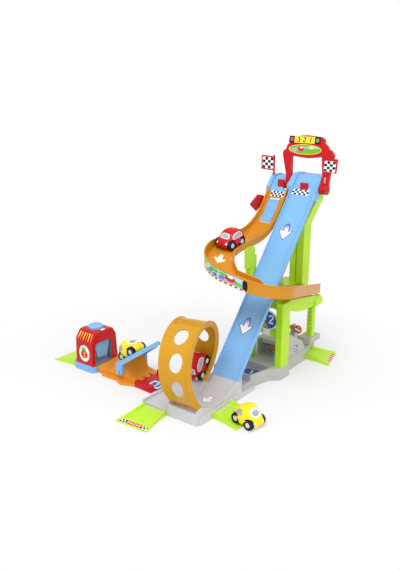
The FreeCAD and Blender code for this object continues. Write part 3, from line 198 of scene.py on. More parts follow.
def plastic(name, colour, rough=0.34, mottle=0.035, grain=0.05, grain_scale=1400, gloss=0.3, metal=0.0):
    """Moulded plastic: a little mottling from the melt, a fine mould grain and uneven gloss."""
    # The frame brings materials of its own under the plain names.
    name = f"toy_{name}"
    if name in bpy.data.materials:
        return bpy.data.materials[name]
    material = bpy.data.materials.new(name)
    material.use_nodes = True
    tree = material.node_tree
    coords = node(tree, "TexCoord.Object")

    def noise(scale, detail):
        return node(tree, "TexNoise.Fac", {"Vector": coords, "Scale": scale, "Detail": detail})

    tone = node(tree, "Mix.Result", {"Factor": noise(MELT_SCALE, 3), "A": shade(colour, 1 - mottle),
                                     "B": shade(colour, 1 + mottle)}, data_type="RGBA")
    spread = node(tree, "MapRange.Result", {"Value": noise(SMUDGE_SCALE, 4), "To Min": rough - 0.05,
                                            "To Max": rough + 0.06})
    bump = node(tree, "Bump.Normal", {"Height": noise(grain_scale, 2), "Strength": grain,
                                      "Distance": GRAIN_DEPTH})
    feed(tree, tree.nodes["Principled BSDF"], {"Base Color": tone, "Roughness": spread, "Normal": bump,
                                               "Metallic": metal, "Specular IOR Level": gloss})
    return material


def faded(name, low, high, start, end):
    """Print that fades along its own length from one colour to another, between two shares of the length."""
    material = plastic(name, low, rough=0.4, grain=0.02)
    tree = material.node_tree
    shader = tree.nodes["Principled BSDF"]
    along = node(tree, "SeparateXYZ.Y", {"Vector": node(tree, "UVMap.UV", uv_map="print")})
    ramp = node(tree, "MapRange.Result", {"Value": along, "From Min": start, "From Max": end},
                interpolation_type="SMOOTHSTEP")
    plain = shader.inputs["Base Color"].links[0].from_socket
    fade = node(tree, "Mix.Result", {"Factor": ramp, "A": plain, "B": shade(high, 1)}, data_type="RGBA")
    feed(tree, shader, {"Base Color": fade})
    return material


def paint(name):
    """Material of a named colour of this object."""
    fixed = FIXED_COLOURS.get(name)
    colour = [part / 255 for part in fixed] if fixed else tuple(getattr(colours(), name))
    return plastic(name, colour, **(PRINTED if name.startswith("print") else FINISHES.get(name, GLOSSY)))


# Paints of the frame's nodes where they differ from the record's slot

SLOT_PAINT = {"tyre_black": "tyre", "sign_white": "red"}
NODE_PAINT = {
    "bridge_base": "bridge_orange", "parking_sign": "paper",
    **dict.fromkeys(("finish_ramp", "side_ramp", "rear_ramp", "launcher_ramp"), "ramp_lime"),
}


# Meshes

DOME = 0.8


def shown(name, data):
    """New object in the scene."""
    made = bpy.data.objects.new(name, data)
    bpy.context.scene.collection.objects.link(made)
    return made


def piece(name, body, vertices, faces, paints, picks=None, smooth=True, uvs=None):
    """New piece in the frame, in metres, that rides on a body."""
    mesh = bpy.data.meshes.new(name)
    mesh.from_pydata([tuple(vertex) for vertex in vertices], [], faces)
    for colour in paints:
        mesh.materials.append(paint(colour) if isinstance(colour, str) else colour)
    if picks:
        mesh.polygons.foreach_set("material_index", picks)
    if uvs:
        layer = mesh.uv_layers.new(name="print")
        for loop in mesh.loops:
            layer.data[loop.index].uv = uvs[loop.vertex_index]
    mesh.polygons.foreach_set("use_smooth", [smooth] * len(mesh.polygons))
    mesh.update()
    made = shown(name, mesh)
    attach(made, body)
    return made


def modify(thing, kind, **settings):
    """Turns a modifier into the thing's mesh."""
    added = thing.modifiers.new(kind.lower(), kind)
    for key, value in settings.items():
        setattr(added, key, value)
    graph = bpy.context.evaluated_depsgraph_get()
    mesh = bpy.data.meshes.new_from_object(thing.evaluated_get(graph), preserve_all_data_layers=True,
                                           depsgraph=graph)
    thing.modifiers.clear()
    thing.data = mesh


def tree_of(carriers):
    """Search tree over a piece, or over the frame nodes that a string names."""
    things = [frame["nodes"][name] for name in carriers.split()] if isinstance(carriers, str) else [carriers]
    points = []
    faces = []
    for thing in things:
        start = len(points)
        points += [vertex.co.copy() for vertex in thing.data.vertices]
        faces += [[start + number for number in polygon.vertices] for polygon in thing.data.polygons]
    return BVHTree.FromPolygons(points, faces)


def skin(rows, ring):
    """Faces between rows of points, each row a ring."""
    return [[row * ring + side, row * ring + (side + 1) % ring, (row + 1) * ring + (side + 1) % ring,
             (row + 1) * ring + side] for row in range(rows - 1) for side in range(ring)]


def tube(rows, ring):
    """Faces of rows of points with both ends closed."""
    last = (rows - 1) * ring
    return skin(rows, ring) + [list(range(ring))[::-1], list(range(last, last + ring))]


def circle(first, second, sides):
    """Directions round a circle in the plane of two directions."""
    turns = [2 * math.pi * side / sides for side in range(sides)]
    return [first * math.cos(turn) + second * math.sin(turn) for turn in turns]


def sweep(name, body, path, radius, colour, sides=10):
    """Round bead along a path of points, with domed ends."""
    points = [Vector(point) for point in path]
    first = (points[0] - points[1]).normalized() * radius
    last = (points[-1] - points[-2]).normalized() * radius
    rings = [(point, 1) for point in points]
    rings = [(points[0] + first * DOME, 0.5), *rings, (points[-1] + last * DOME, 0.5)]
    vertices = []
    normal = None
    for number, (point, share) in enumerate(rings):
        before = rings[max(0, number - 1)][0]
        after = rings[min(len(rings) - 1, number + 1)][0]
        ahead = (after - before).normalized()
        if normal is None:
            normal = ahead.cross(Vector((0, 0, 1)) if abs(ahead.z) < 0.9 else Vector((1, 0, 0))).normalized()
        normal = (normal - ahead * normal.dot(ahead)).normalized()
        vertices += [point + way * radius * share for way in circle(normal, ahead.cross(normal), sides)]
    return piece(name, body, vertices, tube(len(rings), sides), [colour])


def lathe(profile, centre, axis, sides=32):
    """Vertices and faces of a profile (radius, height) in mm turned about an axis, closed at both ends."""
    axis = Vector(axis).normalized()
    first = axis.orthogonal().normalized()
    vertices = []
    for radius, height in profile:
        vertices += [Vector(centre) + axis * height * MM + way * radius * MM
                     for way in circle(first, axis.cross(first), sides)]
    return vertices, tube(len(profile), sides)


def merged(parts):
    """One set of vertices, faces and material picks from several (vertices, faces, pick) parts."""
    vertices, faces, picks = [], [], []
    for part_vertices, part_faces, pick in parts:
        start = len(vertices)
        vertices += part_vertices
        faces += [[start + number for number in face] for face in part_faces]
        picks += [pick] * len(part_faces)
    return vertices, faces, picks


# Flat outlines, in mm

def oval(x, y, half_x, half_y, count=40):
    turns = [2 * math.pi * number / count for number in range(count)]
    return [(x + half_x * math.cos(turn), y + half_y * math.sin(turn)) for turn in turns]


def rounded(points, radius, steps=5):
    """Outline with its corners rounded off."""
    result = []
    count = len(points)
    for number, corner in enumerate(points):
        corner = Vector(corner)
        before = Vector(points[number - 1])
        after = Vector(points[(number + 1) % count])
        back = min(radius, (before - corner).length / 2.01)
        on = min(radius, (after - corner).length / 2.01)
        start = corner + (before - corner).normalized() * back
        end = corner + (after - corner).normalized() * on
        for step in range(steps + 1):
            share = step / steps
            point = start * (1 - share) ** 2 + corner * 2 * share * (1 - share) + end * share ** 2
            result.append((point.x, point.y))
    return result


def panel(x, y, width, height, radius=2):
    left, right, low, high = x - width / 2, x + width / 2, y - height / 2, y + height / 2
    points = [(left, low), (right, low), (right, high), (left, high)]
    return rounded(points, radius) if radius else points


def slanted(left, right, low, high, slant):
    """Bar whose top is shifted to the right."""
    return [(left, low), (right, low), (right + slant, high), (left + slant, high)]


def arrow(width, height, grow=0):
    """Arrow that points to -y: a chevron head with swept-back wings and a narrower, round-tailed shaft."""
    half = width / 2 + grow
    tip = -height / 2 - grow * 1.3
    side = width * 0.17 + grow
    tail = height / 2 + grow
    head = [(-side, -height * 0.02), (-half * 0.86, height * 0.1 + grow), (-half, height * 0.02), (0, tip),
            (half, height * 0.02), (half * 0.86, height * 0.1 + grow), (side, -height * 0.02)]
    shaft = [(side, tail - side), (side * 0.6, tail), (-side * 0.6, tail), (-side, tail - side)]
    return rounded(head + shaft, width * 0.06, 3)


def grown(outline, distance):
    """Outline moved outward by a distance."""
    area = sum(a[0] * b[1] - b[0] * a[1] for a, b in zip(outline, outline[1:] + outline[:1]))
    sign = 1 if area > 0 else -1
    result = []
    for number, point in enumerate(outline):
        ahead = Vector(outline[(number + 1) % len(outline)]) - Vector(outline[number - 1])
        if ahead.length < 1e-6:
            continue
        ahead.normalize()
        result.append((point[0] + ahead.y * distance * sign, point[1] - ahead.x * distance * sign))
    return result


def ribbon(points, width):
    """Outline of a stroke through some points."""
    left, right = [], []
    for number, point in enumerate(points):
        before = Vector(points[max(0, number - 1)])
        after = Vector(points[min(len(points) - 1, number + 1)])
        ahead = (after - before).normalized()
        side = Vector((-ahead.y, ahead.x)) * width / 2
        left.append(tuple(Vector(point) + side))
        right.append(tuple(Vector(point) - side))
    return left + right[::-1]


STROKE_WIDTH = 0.17
STROKES = {
    1: [[(-0.16, 0.3), (0.06, 0.46), (0.06, -0.5)]],
    2: [[(-0.26, 0.24), (-0.2, 0.38), (-0.04, 0.45), (0.14, 0.42), (0.24, 0.3), (0.22, 0.14), (0.08, -0.04),
         (-0.12, -0.22), (-0.24, -0.4)], [(-0.3, -0.43), (0.3, -0.43)]],
    3: [[(-0.24, 0.33), (-0.12, 0.43), (0.06, 0.45), (0.2, 0.36), (0.22, 0.22), (0.12, 0.1), (-0.02, 0.04),
         (0.14, -0.01), (0.25, -0.14), (0.24, -0.3), (0.12, -0.41), (-0.06, -0.45), (-0.26, -0.36)]],
}


# Shapes of a print: (outline, paint, level)

def layer(outlines, colour, level):
    return [(outline, colour, level) for outline in outlines]


def digit(number, x, y, height, colour, level, lean=0.0):
    """Plain numeral as strokes, centred on a point."""
    return layer([[(x + (u + lean * v) * height, y + v * height) for u, v in ribbon(stroke, STROKE_WIDTH)]
                  for stroke in STROKES[number]], colour, level)


def checks(x, y, width, height, columns, rows, first=0, soften=0.0):
    """Every second square of a checker."""
    cell_x = width / columns
    cell_y = height / rows
    squares = []
    for row in range(rows):
        for column in range(columns):
            if (row + column + first) % 2 == 0:
                centre = (x - width / 2 + cell_x * (column + 0.5), y - height / 2 + cell_y * (row + 0.5))
                squares.append(panel(*centre, cell_x, cell_y, soften))
    return layer(squares, "ink", 1)


def nested(x, y, *rings, count=40):
    """Ovals on one centre, (half width, half height, colour) each, printed over one another."""
    return [(oval(x, y, half_x, half_y, count), colour, level)
            for level, (half_x, half_y, colour) in enumerate(rings)]


# Prints that are pressed onto what carries them

PLAN_HEIGHT = 1000
STEEPEST = 0.25
PRINT_ROOT = 0.1


def plane(origin, across, along):
    """Places print coordinates (mm) in the plane of two directions, and says which way is outward."""
    origin = Vector(origin) * MM
    across = Vector(across).normalized()
    along = Vector(along).normalized()
    outward = across.cross(along).normalized()

    def place(u, v):
        return origin + across * u * MM + along * v * MM, outward

    return place


def upright(x, y, z, across=(1, 0, 0), lean=0.0):
    """Places print coordinates on an upright face, which may lean back by degrees."""
    lean = math.radians(lean)
    return plane((x, y, z), across, (0, math.sin(lean), math.cos(lean)))


def plan(x, y, turn=0.0, stretch=1.0):
    """Places print coordinates seen from above, turned by degrees; the press goes straight down."""
    angle = math.radians(turn)

    def place(u, v):
        v *= stretch
        spot = Vector((x + u * math.cos(angle) - v * math.sin(angle),
                       y + u * math.sin(angle) + v * math.cos(angle), PLAN_HEIGHT))
        return spot * MM, Vector((0, 0, 1))

    return place


def gridded(outline, grid):
    """Flat mesh inside an outline, cut finely enough to follow a curve: points, faces and outer edges."""
    made = bmesh.new()
    made.faces.new([made.verts.new((u, v, 0)) for u, v in outline])
    made.normal_update()
    bmesh.ops.triangulate(made, faces=made.faces[:], ngon_method="EAR_CLIP")
    for _ in range(6):
        long = [edge for edge in made.edges if edge.calc_length() > grid]
        if not long:
            break
        bmesh.ops.subdivide_edges(made, edges=long, cuts=1)
        bmesh.ops.triangulate(made, faces=[face for face in made.faces if len(face.verts) > 3])
    made.faces.ensure_lookup_table()
    made.verts.index_update()
    made.normal_update()
    order = -1 if made.faces[0].normal.z < 0 else 1
    points = [(vertex.co.x, vertex.co.y) for vertex in made.verts]
    faces = [[vertex.index for vertex in face.verts][::order] for face in made.faces]
    edges = []
    for edge in made.edges:
        if len(edge.link_faces) == 1:
            loop = edge.link_loops[0]
            edges.append((loop.vert.index, loop.link_loop_next.vert.index)[::order])
    made.free()
    return points, faces, edges


def rest_on(search, spot, outward, reach):
    """Where a print's point meets its carrier, and the way that the carrier faces there."""
    deep = reach + (PLAN_HEIGHT if outward.z == 1 else reach)
    hit, normal, _, _ = search.ray_cast(spot + outward * reach * MM, -outward, deep * MM)
    if hit is None or abs(normal.dot(outward)) <= STEEPEST:
        return hit, outward
    return hit, -normal if normal.dot(outward) < 0 else normal


def press(name, carriers, place, shapes, body="tower", reach=60, grid=None, thick=1.0):
    """Thin printed slabs pressed onto their carrier: shapes are (outline, paint, level)."""
    search = tree_of(carriers)
    step = sizes().print_step * thick
    grid = grid or sizes().print_grid / MM
    all_u, all_v = zip(*(point for outline, _, _ in shapes for point in outline))
    low_u, low_v = min(all_u), min(all_v)
    span_u, span_v = max(all_u) - low_u, max(all_v) - low_v
    paints, parts, uvs = [], [], []
    for outline, colour, level in shapes:
        points, faces, edges = gridded(outline, grid)
        spots = [place(u, v) for u, v in points]
        rests = [rest_on(search, *spot, reach) for spot in spots]
        found = [(hit, spot) for (hit, _), (spot, _) in zip(rests, spots) if hit is not None]
        if not found:
            raise RuntimeError(f"{name}: a shape finds nothing to sit on")
        top, bottom = [], []
        for (hit, normal), (spot, outward) in zip(rests, spots):
            if hit is None:
                near_hit, near_spot = min(found, key=lambda other: (other[1] - spot).length)
                hit = spot + outward * (near_hit - near_spot).dot(outward)
            top.append(hit + normal * step * (level + 1))
            bottom.append(hit - normal * PRINT_ROOT * MM)
        count = len(points)
        slab = faces + [[count + number for number in face][::-1] for face in faces]
        slab += [[second, first, count + first, count + second] for first, second in edges]
        if colour not in paints:
            paints.append(colour)
        parts.append((top + bottom, slab, paints.index(colour)))
        uvs += [((u - low_u) / span_u, (v - low_v) / span_v) for u, v in points] * 2
    vertices, faces, picks = merged(parts)
    return piece(name, body, vertices, faces, paints, picks, smooth=False, uvs=uvs)


# Stage

FLOOR_REACH = 14
FLOOR_MIDDLE = (-0.13, 0, 0)
LAMP_TARGET = Vector((-0.15, 0, 0.25))
LAMP_DISTANCE = 3.0
CAMERA_PLACE = Vector((979.87, -1472.34, 850)) * MM
CAMERA_TURN = 37.5
CAMERA_DIP = 17.2
SENSOR = 36
CAMERA_FOCUS = 668 / 570 * SENSOR


def seen_by(tree, *kinds):
    """One for the kinds of ray that see plain white, and nought for the light on the toy."""
    path = node(tree, "LightPath")
    total = path.outputs[kinds[0]]
    for kind in kinds[1:]:
        total = node(tree, "Math.Value", {0: total, 1: path.outputs[kind]}, operation="ADD", use_clamp=True)
    return total


def lay_floor():
    """Pale floor that turns to plain white away from the toy, and keeps the toy's shadow near it."""
    tone = plastic("floor_white", (0.93, 0.93, 0.935), rough=0.8, mottle=0.004, grain=0.0, gloss=0.1)
    tree = tone.node_tree
    glow = node(tree, "Emission.Emission", {"Color": WHITE, "Strength": 1})
    white = seen_by(tree, "Is Camera Ray", "Is Glossy Ray", "Is Transmission Ray")
    spot = node(tree, "TexCoord.Object")
    away = node(tree, "VectorMath.Value", {0: spot, 1: FLOOR_MIDDLE}, operation="DISTANCE")
    fade = node(tree, "MapRange.Result", {"Value": away, "From Min": 0.4, "From Max": 0.85, "To Min": 0.36,
                                          "To Max": 1}, interpolation_type="SMOOTHSTEP")
    share = node(tree, "Math.Value", {0: white, 1: fade}, operation="MULTIPLY")
    plain = tree.nodes["Principled BSDF"].outputs["BSDF"]
    feed(tree, tree.nodes["Material Output"], {
        "Surface": node(tree, "MixShader.Shader", {"Fac": share, 1: plain, 2: glow})})
    mesh = bpy.data.meshes.new("floor")
    corners = panel(0, 0, 2 * FLOOR_REACH, 2 * FLOOR_REACH, 0)
    mesh.from_pydata([(x, y, 0) for x, y in corners], [], [[0, 1, 2, 3]])
    mesh.materials.append(tone)
    shown("floor", mesh)


def light_sky():
    """World that lights the toy softly and shows as plain white."""
    world = bpy.data.worlds.new("studio")
    bpy.context.scene.world = world
    world.use_nodes = True
    tree = world.node_tree
    white = tree.nodes["Background"]
    feed(tree, white, {"Color": WHITE, "Strength": 1})
    lit = node(tree, "Background.Background", {"Color": WHITE, "Strength": 0.78})
    seen = seen_by(tree, "Is Camera Ray", "Is Transmission Ray")
    join = node(tree, "MixShader.Shader", {"Fac": seen, 1: lit, 2: white.outputs["Background"]})
    feed(tree, tree.nodes["World Output"], {"Surface": join})


def lamp(name, strength, size, azimuth, elevation):
    light = bpy.data.lights.new(name, "AREA")
    light.energy = strength
    light.size = size
    turn = math.radians(azimuth)
    rise = math.radians(elevation)
    outward = Vector((math.sin(turn) * math.cos(rise), -math.cos(turn) * math.cos(rise), math.sin(rise)))
    holder = shown(name, light)
    holder.location = LAMP_TARGET + outward * LAMP_DISTANCE
    holder.rotation_euler = outward.to_track_quat("Z", "Y").to_euler()


def set_camera():
    lens = bpy.data.cameras.new("camera")
    lens.lens = CAMERA_FOCUS
    lens.sensor_width = SENSOR
    holder = shown("camera", lens)
    holder.location = CAMERA_PLACE
    holder.rotation_euler = (math.radians(90 - CAMERA_DIP), 0, math.radians(CAMERA_TURN))
    bpy.context.scene.camera = holder


# The spiral lane's stations: x, y, heading, half width, rim height, inner rim lower by

LANE = [
    (-91, 322, -90, 34.5, 525, 0), (-91, 301, -90, 34.8, 497, 1.9), (-91, 271, -90, 35.2, 460, 4.7),
    (-91, 229, -90, 35.8, 431, 8.1), (-91, 183, -90, 36.5, 415, 9), (-91, 107, -90, 38.7, 409, 10.4),
    (-91, 31, -90, 42, 405, 16), (-89.5, 17.7, -77.1, 42, 398.6, 16.1), (-85, 5, -64.1, 42, 392.2, 16.2),
    (-77.8, -6.3, -51.2, 42, 385.9, 16.2), (-68.3, -15.8, -38.2, 42, 379.5, 16.3),
    (-56.9, -22.8, -25.3, 42, 373.1, 16.4), (-44.2, -27.1, -12.3, 42, 366.8, 16.5),
    (-30.8, -28.5, 0.7, 42, 360.4, 16.6), (-17.5, -26.8, 13.6, 42, 354, 16.7),
    (13.4, -19.4, 13.6, 42, 345, 17), (44.2, -11.9, 13.6, 42, 336, 17.3), (55, -8.1, 24.8, 42, 332.2, 17.4),
    (64.8, -2.4, 36, 42, 328.5, 17.5), (73.4, 5.2, 47.1, 42, 324.8, 17.6), (80.3, 14.3, 58.3, 42, 321, 17.7),
    (85.3, 24.5, 69.5, 42, 317.2, 17.8),
    (88.3, 35.5, 80.7, 42, 313.5, 17.8), (89, 46.9, 91.8, 42, 309.8, 17.9), (87.5, 58.2, 103, 42, 306, 18),
    (71.7, 126.9, 103, 41.5, 288, 16.2), (55.8, 195.6, 103, 41, 270, 14.5), (40, 264.3, 103, 40.5, 252, 12.8),
    (24.1, 333, 103, 40, 234, 11),
]
FIRST_JOINT = 6
SECOND_JOINT = 24
RIM_INSET = 1.5
BAND_START = 14
BAND_END = 214
BAND_HEIGHT = 29
BAND_DROP = 32

# The loop, as in the frame

LOOP_Y = -182
LOOP_Z = 124.5
LOOP_RADIUS = 114.5
LOOP_SEAT = 40
LOOP_START = 3
LOOP_HALF_WIDTH = 42
LANE_PITCH = 91

# The gate's own lean, in degrees

GATE_LEAN = 9


def lane_edge(start, end, side, inset=RIM_INSET):
    """Points along one rim of the lane, between two stations; side is 1 outside and -1 inside."""
    points = []
    for x, y, heading, half, rim, bank in LANE[start:end + 1]:
        turn = math.radians(heading)
        across = side * (half - inset)
        drop = bank if side < 0 else 0
        points.append(Vector((x + across * math.sin(turn), y - across * math.cos(turn), rim - drop)) * MM)
    return points


def flowing(points, steps=4):
    """Smooth line through points."""
    line = []
    for number in range(len(points) - 1):
        p0 = points[max(0, number - 1)]
        p1 = points[number]
        p2 = points[number + 1]
        p3 = points[min(len(points) - 1, number + 2)]
        for step in range(steps):
            t = step / steps
            line.append(0.5 * (2 * p1 + (p2 - p0) * t + (2 * p0 - 5 * p1 + 4 * p2 - p3) * t * t
                               + (3 * p1 - p0 - 3 * p2 + p3) * t ** 3))
    line.append(points[-1])
    return line


def picture_band():
    """Printed picture round the outside of the spiral's bend."""
    wall = flowing(lane_edge(FIRST_JOINT + 1, SECOND_JOINT - 5, 1, 0), 6)
    marks = [0.0]
    for before, after in zip(wall, wall[1:]):
        marks.append(marks[-1] + (after - before).to_2d().length / MM)

    def place(s, h):
        index = max(number for number, mark in enumerate(marks[:-1]) if mark <= max(0, s))
        share = (s - marks[index]) / (marks[index + 1] - marks[index])
        spot = wall[index].lerp(wall[index + 1], share)
        ahead = (wall[index + 1] - wall[index]).to_2d().normalized()
        return spot + Vector((0, 0, h - BAND_DROP)) * MM, Vector((ahead.y, -ahead.x, 0))

    middle = (BAND_START + BAND_END) / 2
    run = BAND_END - BAND_START
    shapes = [(panel(middle, 16, run, 26, 0), "print_sky", 0), (panel(middle, 6, run, 6, 0), "print_grey", 1)]
    for s, h, wide, tall, colour, level in (
            (26, 22, 12, 6, "green", 1), (48, 12, 16, 5, "green", 1), (70, 23, 14, 5, "green", 1),
            (96, 11, 15, 5, "green", 1), (118, 22, 17, 5.5, "green", 1), (150, 23, 14, 4.5, "green", 1),
            (186, 12, 20, 5, "green", 1), (36, 13, 8, 5, "mid_blue", 2), (30, 19, 7, 3.5, "blue", 2),
            (60, 18, 12, 6, "yellow", 2), (78, 12, 8, 5, "yellow", 2), (106, 17, 7, 4.5, "mid_blue", 2),
            (122, 11, 7, 4, "blue", 2), (146, 13, 10, 5, "mid_blue", 2), (170, 17, 15, 7.5, "red", 2)):
        shapes.append((oval(s, h, wide, tall, 28), f"print_{colour}", level))
    shapes += [(oval(171, 22, 8, 3, 28), "paper", 3), (oval(194, 21, 9, 4, 28), "print_sky", 2)]
    for number in range(13):
        s = BAND_START + 4 + number * 15
        shapes.append((slanted(s, s + 8, -0.5, 3.5, 1), "print_red", 2))
        shapes.append((slanted(s + 8, s + 15, -0.5, 3.5, 1), "paper", 1))
    shapes.append((panel(BAND_END - 1, 15.75, 14, BAND_HEIGHT - 1.5, 9), "ink", 4))
    press("spiral_band_print", "spiral_curve", place, shapes, reach=12, grid=5)


def loop_point(angle, across, reach):
    """Point of the loop's band at an angle from the bottom, across it and out from its centre.

    The band drifts from the slide's lane to the left one.
    """
    share = (angle - LOOP_SEAT) / (360 - 2 * LOOP_SEAT)
    middle = LOOP_START - (LOOP_START + LANE_PITCH) * (3 * share ** 2 - 2 * share ** 3)
    drift = 6 * share * (1 - share) * (LANE_PITCH + LOOP_START)
    lean = drift / (math.radians(360 - 2 * LOOP_SEAT) * LOOP_RADIUS)
    turn = math.radians(angle)
    return Vector((middle + across, LOOP_Y + across * lean - reach * math.sin(turn),
                   LOOP_Z - reach * math.cos(turn))) * MM


def loop_joins():
    """Overlap ribs where the loop's two halves are joined, with a screw, and the red clips at the seat."""
    for number, angle in enumerate((172, 177, 183)):
        line = [loop_point(angle, across, LOOP_RADIUS + 0.6) for across in range(-38, 39, 4)]
        sweep(f"loop_rib_{number + 1}", "tower", line, 1.1 * MM, "loop_amber", 8)
    centre = loop_point(170, -30, LOOP_RADIUS)
    outward = (loop_point(170, -30, LOOP_RADIUS + 10) - centre).normalized()
    head = [(2.6, -0.5), (2.6, 0.6), (2.0, 1.0), (1.2, 0.7), (0.2, 0.7)]
    piece("loop_screw", "tower", *lathe(head, centre, outward, 24), ["steel"])
    seat = LOOP_SEAT + 3
    centre = loop_point(seat, 0, LOOP_RADIUS)
    across = (loop_point(seat, 10, LOOP_RADIUS) - centre).normalized()
    outward = (loop_point(seat, 0, LOOP_RADIUS + 10) - centre).normalized()
    face = plane(centre / MM, across, outward.cross(across))
    clips = layer([panel(x, 0, 11, 5, 1.5) for x in (-24, -4)], "print_red", 0)
    press("loop_seat_clips", "loop_front_half", face, clips, reach=14, grid=5, thick=6)


def flag_checks(flag, body, left, right, low_z, high_z):
    """Checkers inside the border of a flag, on both its faces."""
    low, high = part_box(flag)
    border = 4.2
    width = right - left - 2 * border
    tall = high_z - low_z - 2 * border
    shapes = [(panel(0, 0, width, tall, 3), "paper", 0), *checks(0, 0, width - 1, tall - 1, 4, 4, 0, 1.2)]
    for side, name in ((1, "front"), (-1, "back")):
        face = upright((left + right) / 2, (low.y + high.y) / 2 / MM, (low_z + high_z) / 2, (side, 0, 0))
        press(f"{flag}_{name}_checks", flag, face, shapes, body)


def screw(name, place, axis):
    radius = sizes().screw / MM
    head = [(radius, -0.6), (radius, 0.3), (radius * 0.86, 0.7), (radius * 0.5, 0.8), (radius * 0.42, 0.2),
            (0.2, 0.2)]
    piece(name, "tower", *lathe(head, Vector(place) * MM, axis, 24), ["steel"])


def tabs(name, carrier, place, spots, colour):
    """Rounded tongues with a neck, as on a puzzle."""
    tongue = [(-3.2, 6), (-3.2, 1), (-6, -2), (-4.5, -6), (4.5, -6), (6, -2), (3.2, 1), (3.2, 6)]
    outlines = [rounded([(u + spot, v) for u, v in tongue], 2.4, 3) for spot in spots]
    press(name, carrier, place, layer(outlines, colour, 0), grid=6, thick=4)


def way_lining():
    """Slate lining of the opening through the launcher's housing."""
    outer = [(-195.6, 25), (-195.6, 80), (-189, 89), (-181, 92.6), (-139, 92.6), (-131, 89), (-125.4, 80),
             (-125.4, 25)]
    inner = [(-194.2, 25), (-194.2, 80), (-188, 88), (-180.6, 91.2), (-139.4, 91.2), (-132, 88), (-126.8, 80),
             (-126.8, 25)]
    vertices = [Vector((x, y, z)) * MM for x in (-416.5, -396) for y, z in outer + inner]
    count = len(outer)
    far = 2 * count
    faces = []
    for here in range(count - 1):
        there = here + 1
        faces += [[here, there, far + there, far + here],
                  [count + there, count + here, far + count + here, far + count + there],
                  [there, here, count + here, count + there],
                  [far + here, far + there, far + count + there, far + count + here]]
    faces += [[0, far, far + count, count], [count - 1, far - 1, 2 * far - 1, far + count - 1]]
    piece("launcher_lining", "tower", vertices, faces, ["slate"], smooth=False)


def button_coil():
    """Coil spring between the well's floor and the button."""
    low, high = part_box("button_spring")
    middle = (low + high) / 2
    wire = 0.9 * MM
    reach = (high.x - low.x) / 2 - wire
    turns, steps = 4, 24
    line = []
    for number in range(turns * steps + 1):
        turn = 2 * math.pi * number / steps
        rise = low.z + wire + (high.z - low.z - 2 * wire) * number / (turns * steps)
        line.append((middle.x + reach * math.cos(turn), middle.y + reach * math.sin(turn), rise))
    coil = sweep("button_coil", "tower", line, wire, "steel", 8)
    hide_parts("button_spring")
    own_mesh(coil)


# Cars, in their own mm: x forward, y left, z up from the ground

CAR_ROWS = {
    # x, half width, underside, belt, top, half width of the roof
    "hatch": [(-38.5, 21, 10, 23, 31, 16.5), (-36, 27, 6, 26, 41, 21.5), (-29, 29.9, 4.5, 28, 48, 24),
              (-15, 30.2, 4.5, 29, 51.5, 25), (0, 29.9, 5, 29.5, 52, 25), (8, 29.9, 4.5, 29, 49, 24.5),
              (17, 30.2, 4.5, 28, 41, 23), (25, 29.9, 4.5, 27, 33.5, 22), (33, 26.5, 6, 24, 28, 19),
              (38.5, 20, 10, 18.5, 22, 13)],
    "beetle": [(-38.5, 17, 11, 18, 22, 11), (-35.5, 24, 6.5, 23, 33, 17), (-27, 29.6, 4.5, 27, 45, 22),
               (-14, 30.4, 4.5, 29, 53, 25.5), (0, 30, 5, 29.5, 55, 26), (10, 30, 4.5, 28.5, 51, 25),
               (19, 30.4, 4.5, 27.5, 42, 22.5), (27, 29.4, 4.5, 26, 34, 20), (34.5, 25, 7, 22.5, 28, 16),
               (38.5, 17, 11, 17.5, 21.5, 10)],
}
CARS = {
    "spiral_car": ("hatch", "red"),
    "loop_car": ("hatch", "red"),
    "bridge_car": ("beetle", "yellow"),
    "floor_car": ("beetle", "yellow"),
}
SIDE_WINDOW = {
    "hatch": [(-25, 32.5), (-24, 40), (-17, 45), (1, 45), (9, 41), (15, 34), (13, 32)],
    "beetle": [(-25, 31), (-22, 39), (-13, 45.5), (-4, 46.5), (-2, 31)],
}
WINDSCREEN = {
    # outline of the white surround, then of the glass in it
    "hatch": ([(-15, 32.5), (15, 32.5), (16, 36), (12, 43.5), (-12, 43.5), (-16, 36)],
              [(-13, 34), (13, 34), (13.5, 36.5), (10.5, 42), (-10.5, 42), (-13.5, 36.5)]),
    "beetle": (oval(0, 41, 18, 9.5, 28), oval(0, 40.5, 11.5, 5.6, 28)),
}
WHEEL_RADIUS = 14.5
HALF_BASE = 21
# Wheel arches (radius, inner end, outer end, height): room for the tyre, and a smaller opening in the skirt
ARCHES = ((16, 16, 29.15, WHEEL_RADIUS), (14.2, 27, 36, 11))
TYRE = [(4, -6), (11.5, -6), (13.4, -5.2), (14.3, -3.4), (14.5, -1), (13.9, -0.6), (13.9, 0.6), (14.5, 1),
        (14.3, 3.4), (13.4, 5.2), (11.5, 6), (8.6, 5.6), (7.8, 4.2), (7.6, 3)]
HUB = [(7.4, 2.6), (7.2, 4.8), (6.6, 5.5), (4.9, 5.8), (4.5, 5.2), (3.0, 5.3), (2.4, 5.9), (0.3, 6.0)]
ROD = [(1.8, 0), (2, 0.4), (2, 39.6), (1.8, 40)]


def car_place(name):
    """Matrix from a car's own mm to the frame, read from its joints."""
    joints = {joint["name"]: joint for joint in frame["joints"]}
    front = Vector(joints[f"{name}_front_roll"]["pos_m"])
    rear = Vector(joints[f"{name}_rear_roll"]["pos_m"])
    lift = Vector(joints[f"{name}_lift"]["axis"]).normalized()
    forward = (front - rear).normalized()
    left = lift.cross(forward).normalized()
    up = forward.cross(left)
    origin = (front + rear) / 2 - up * WHEEL_RADIUS * MM
    turn = Matrix((forward, left, up)).transposed().to_4x4()
    return Matrix.Translation(origin) @ turn @ Matrix.Scale(MM, 4)


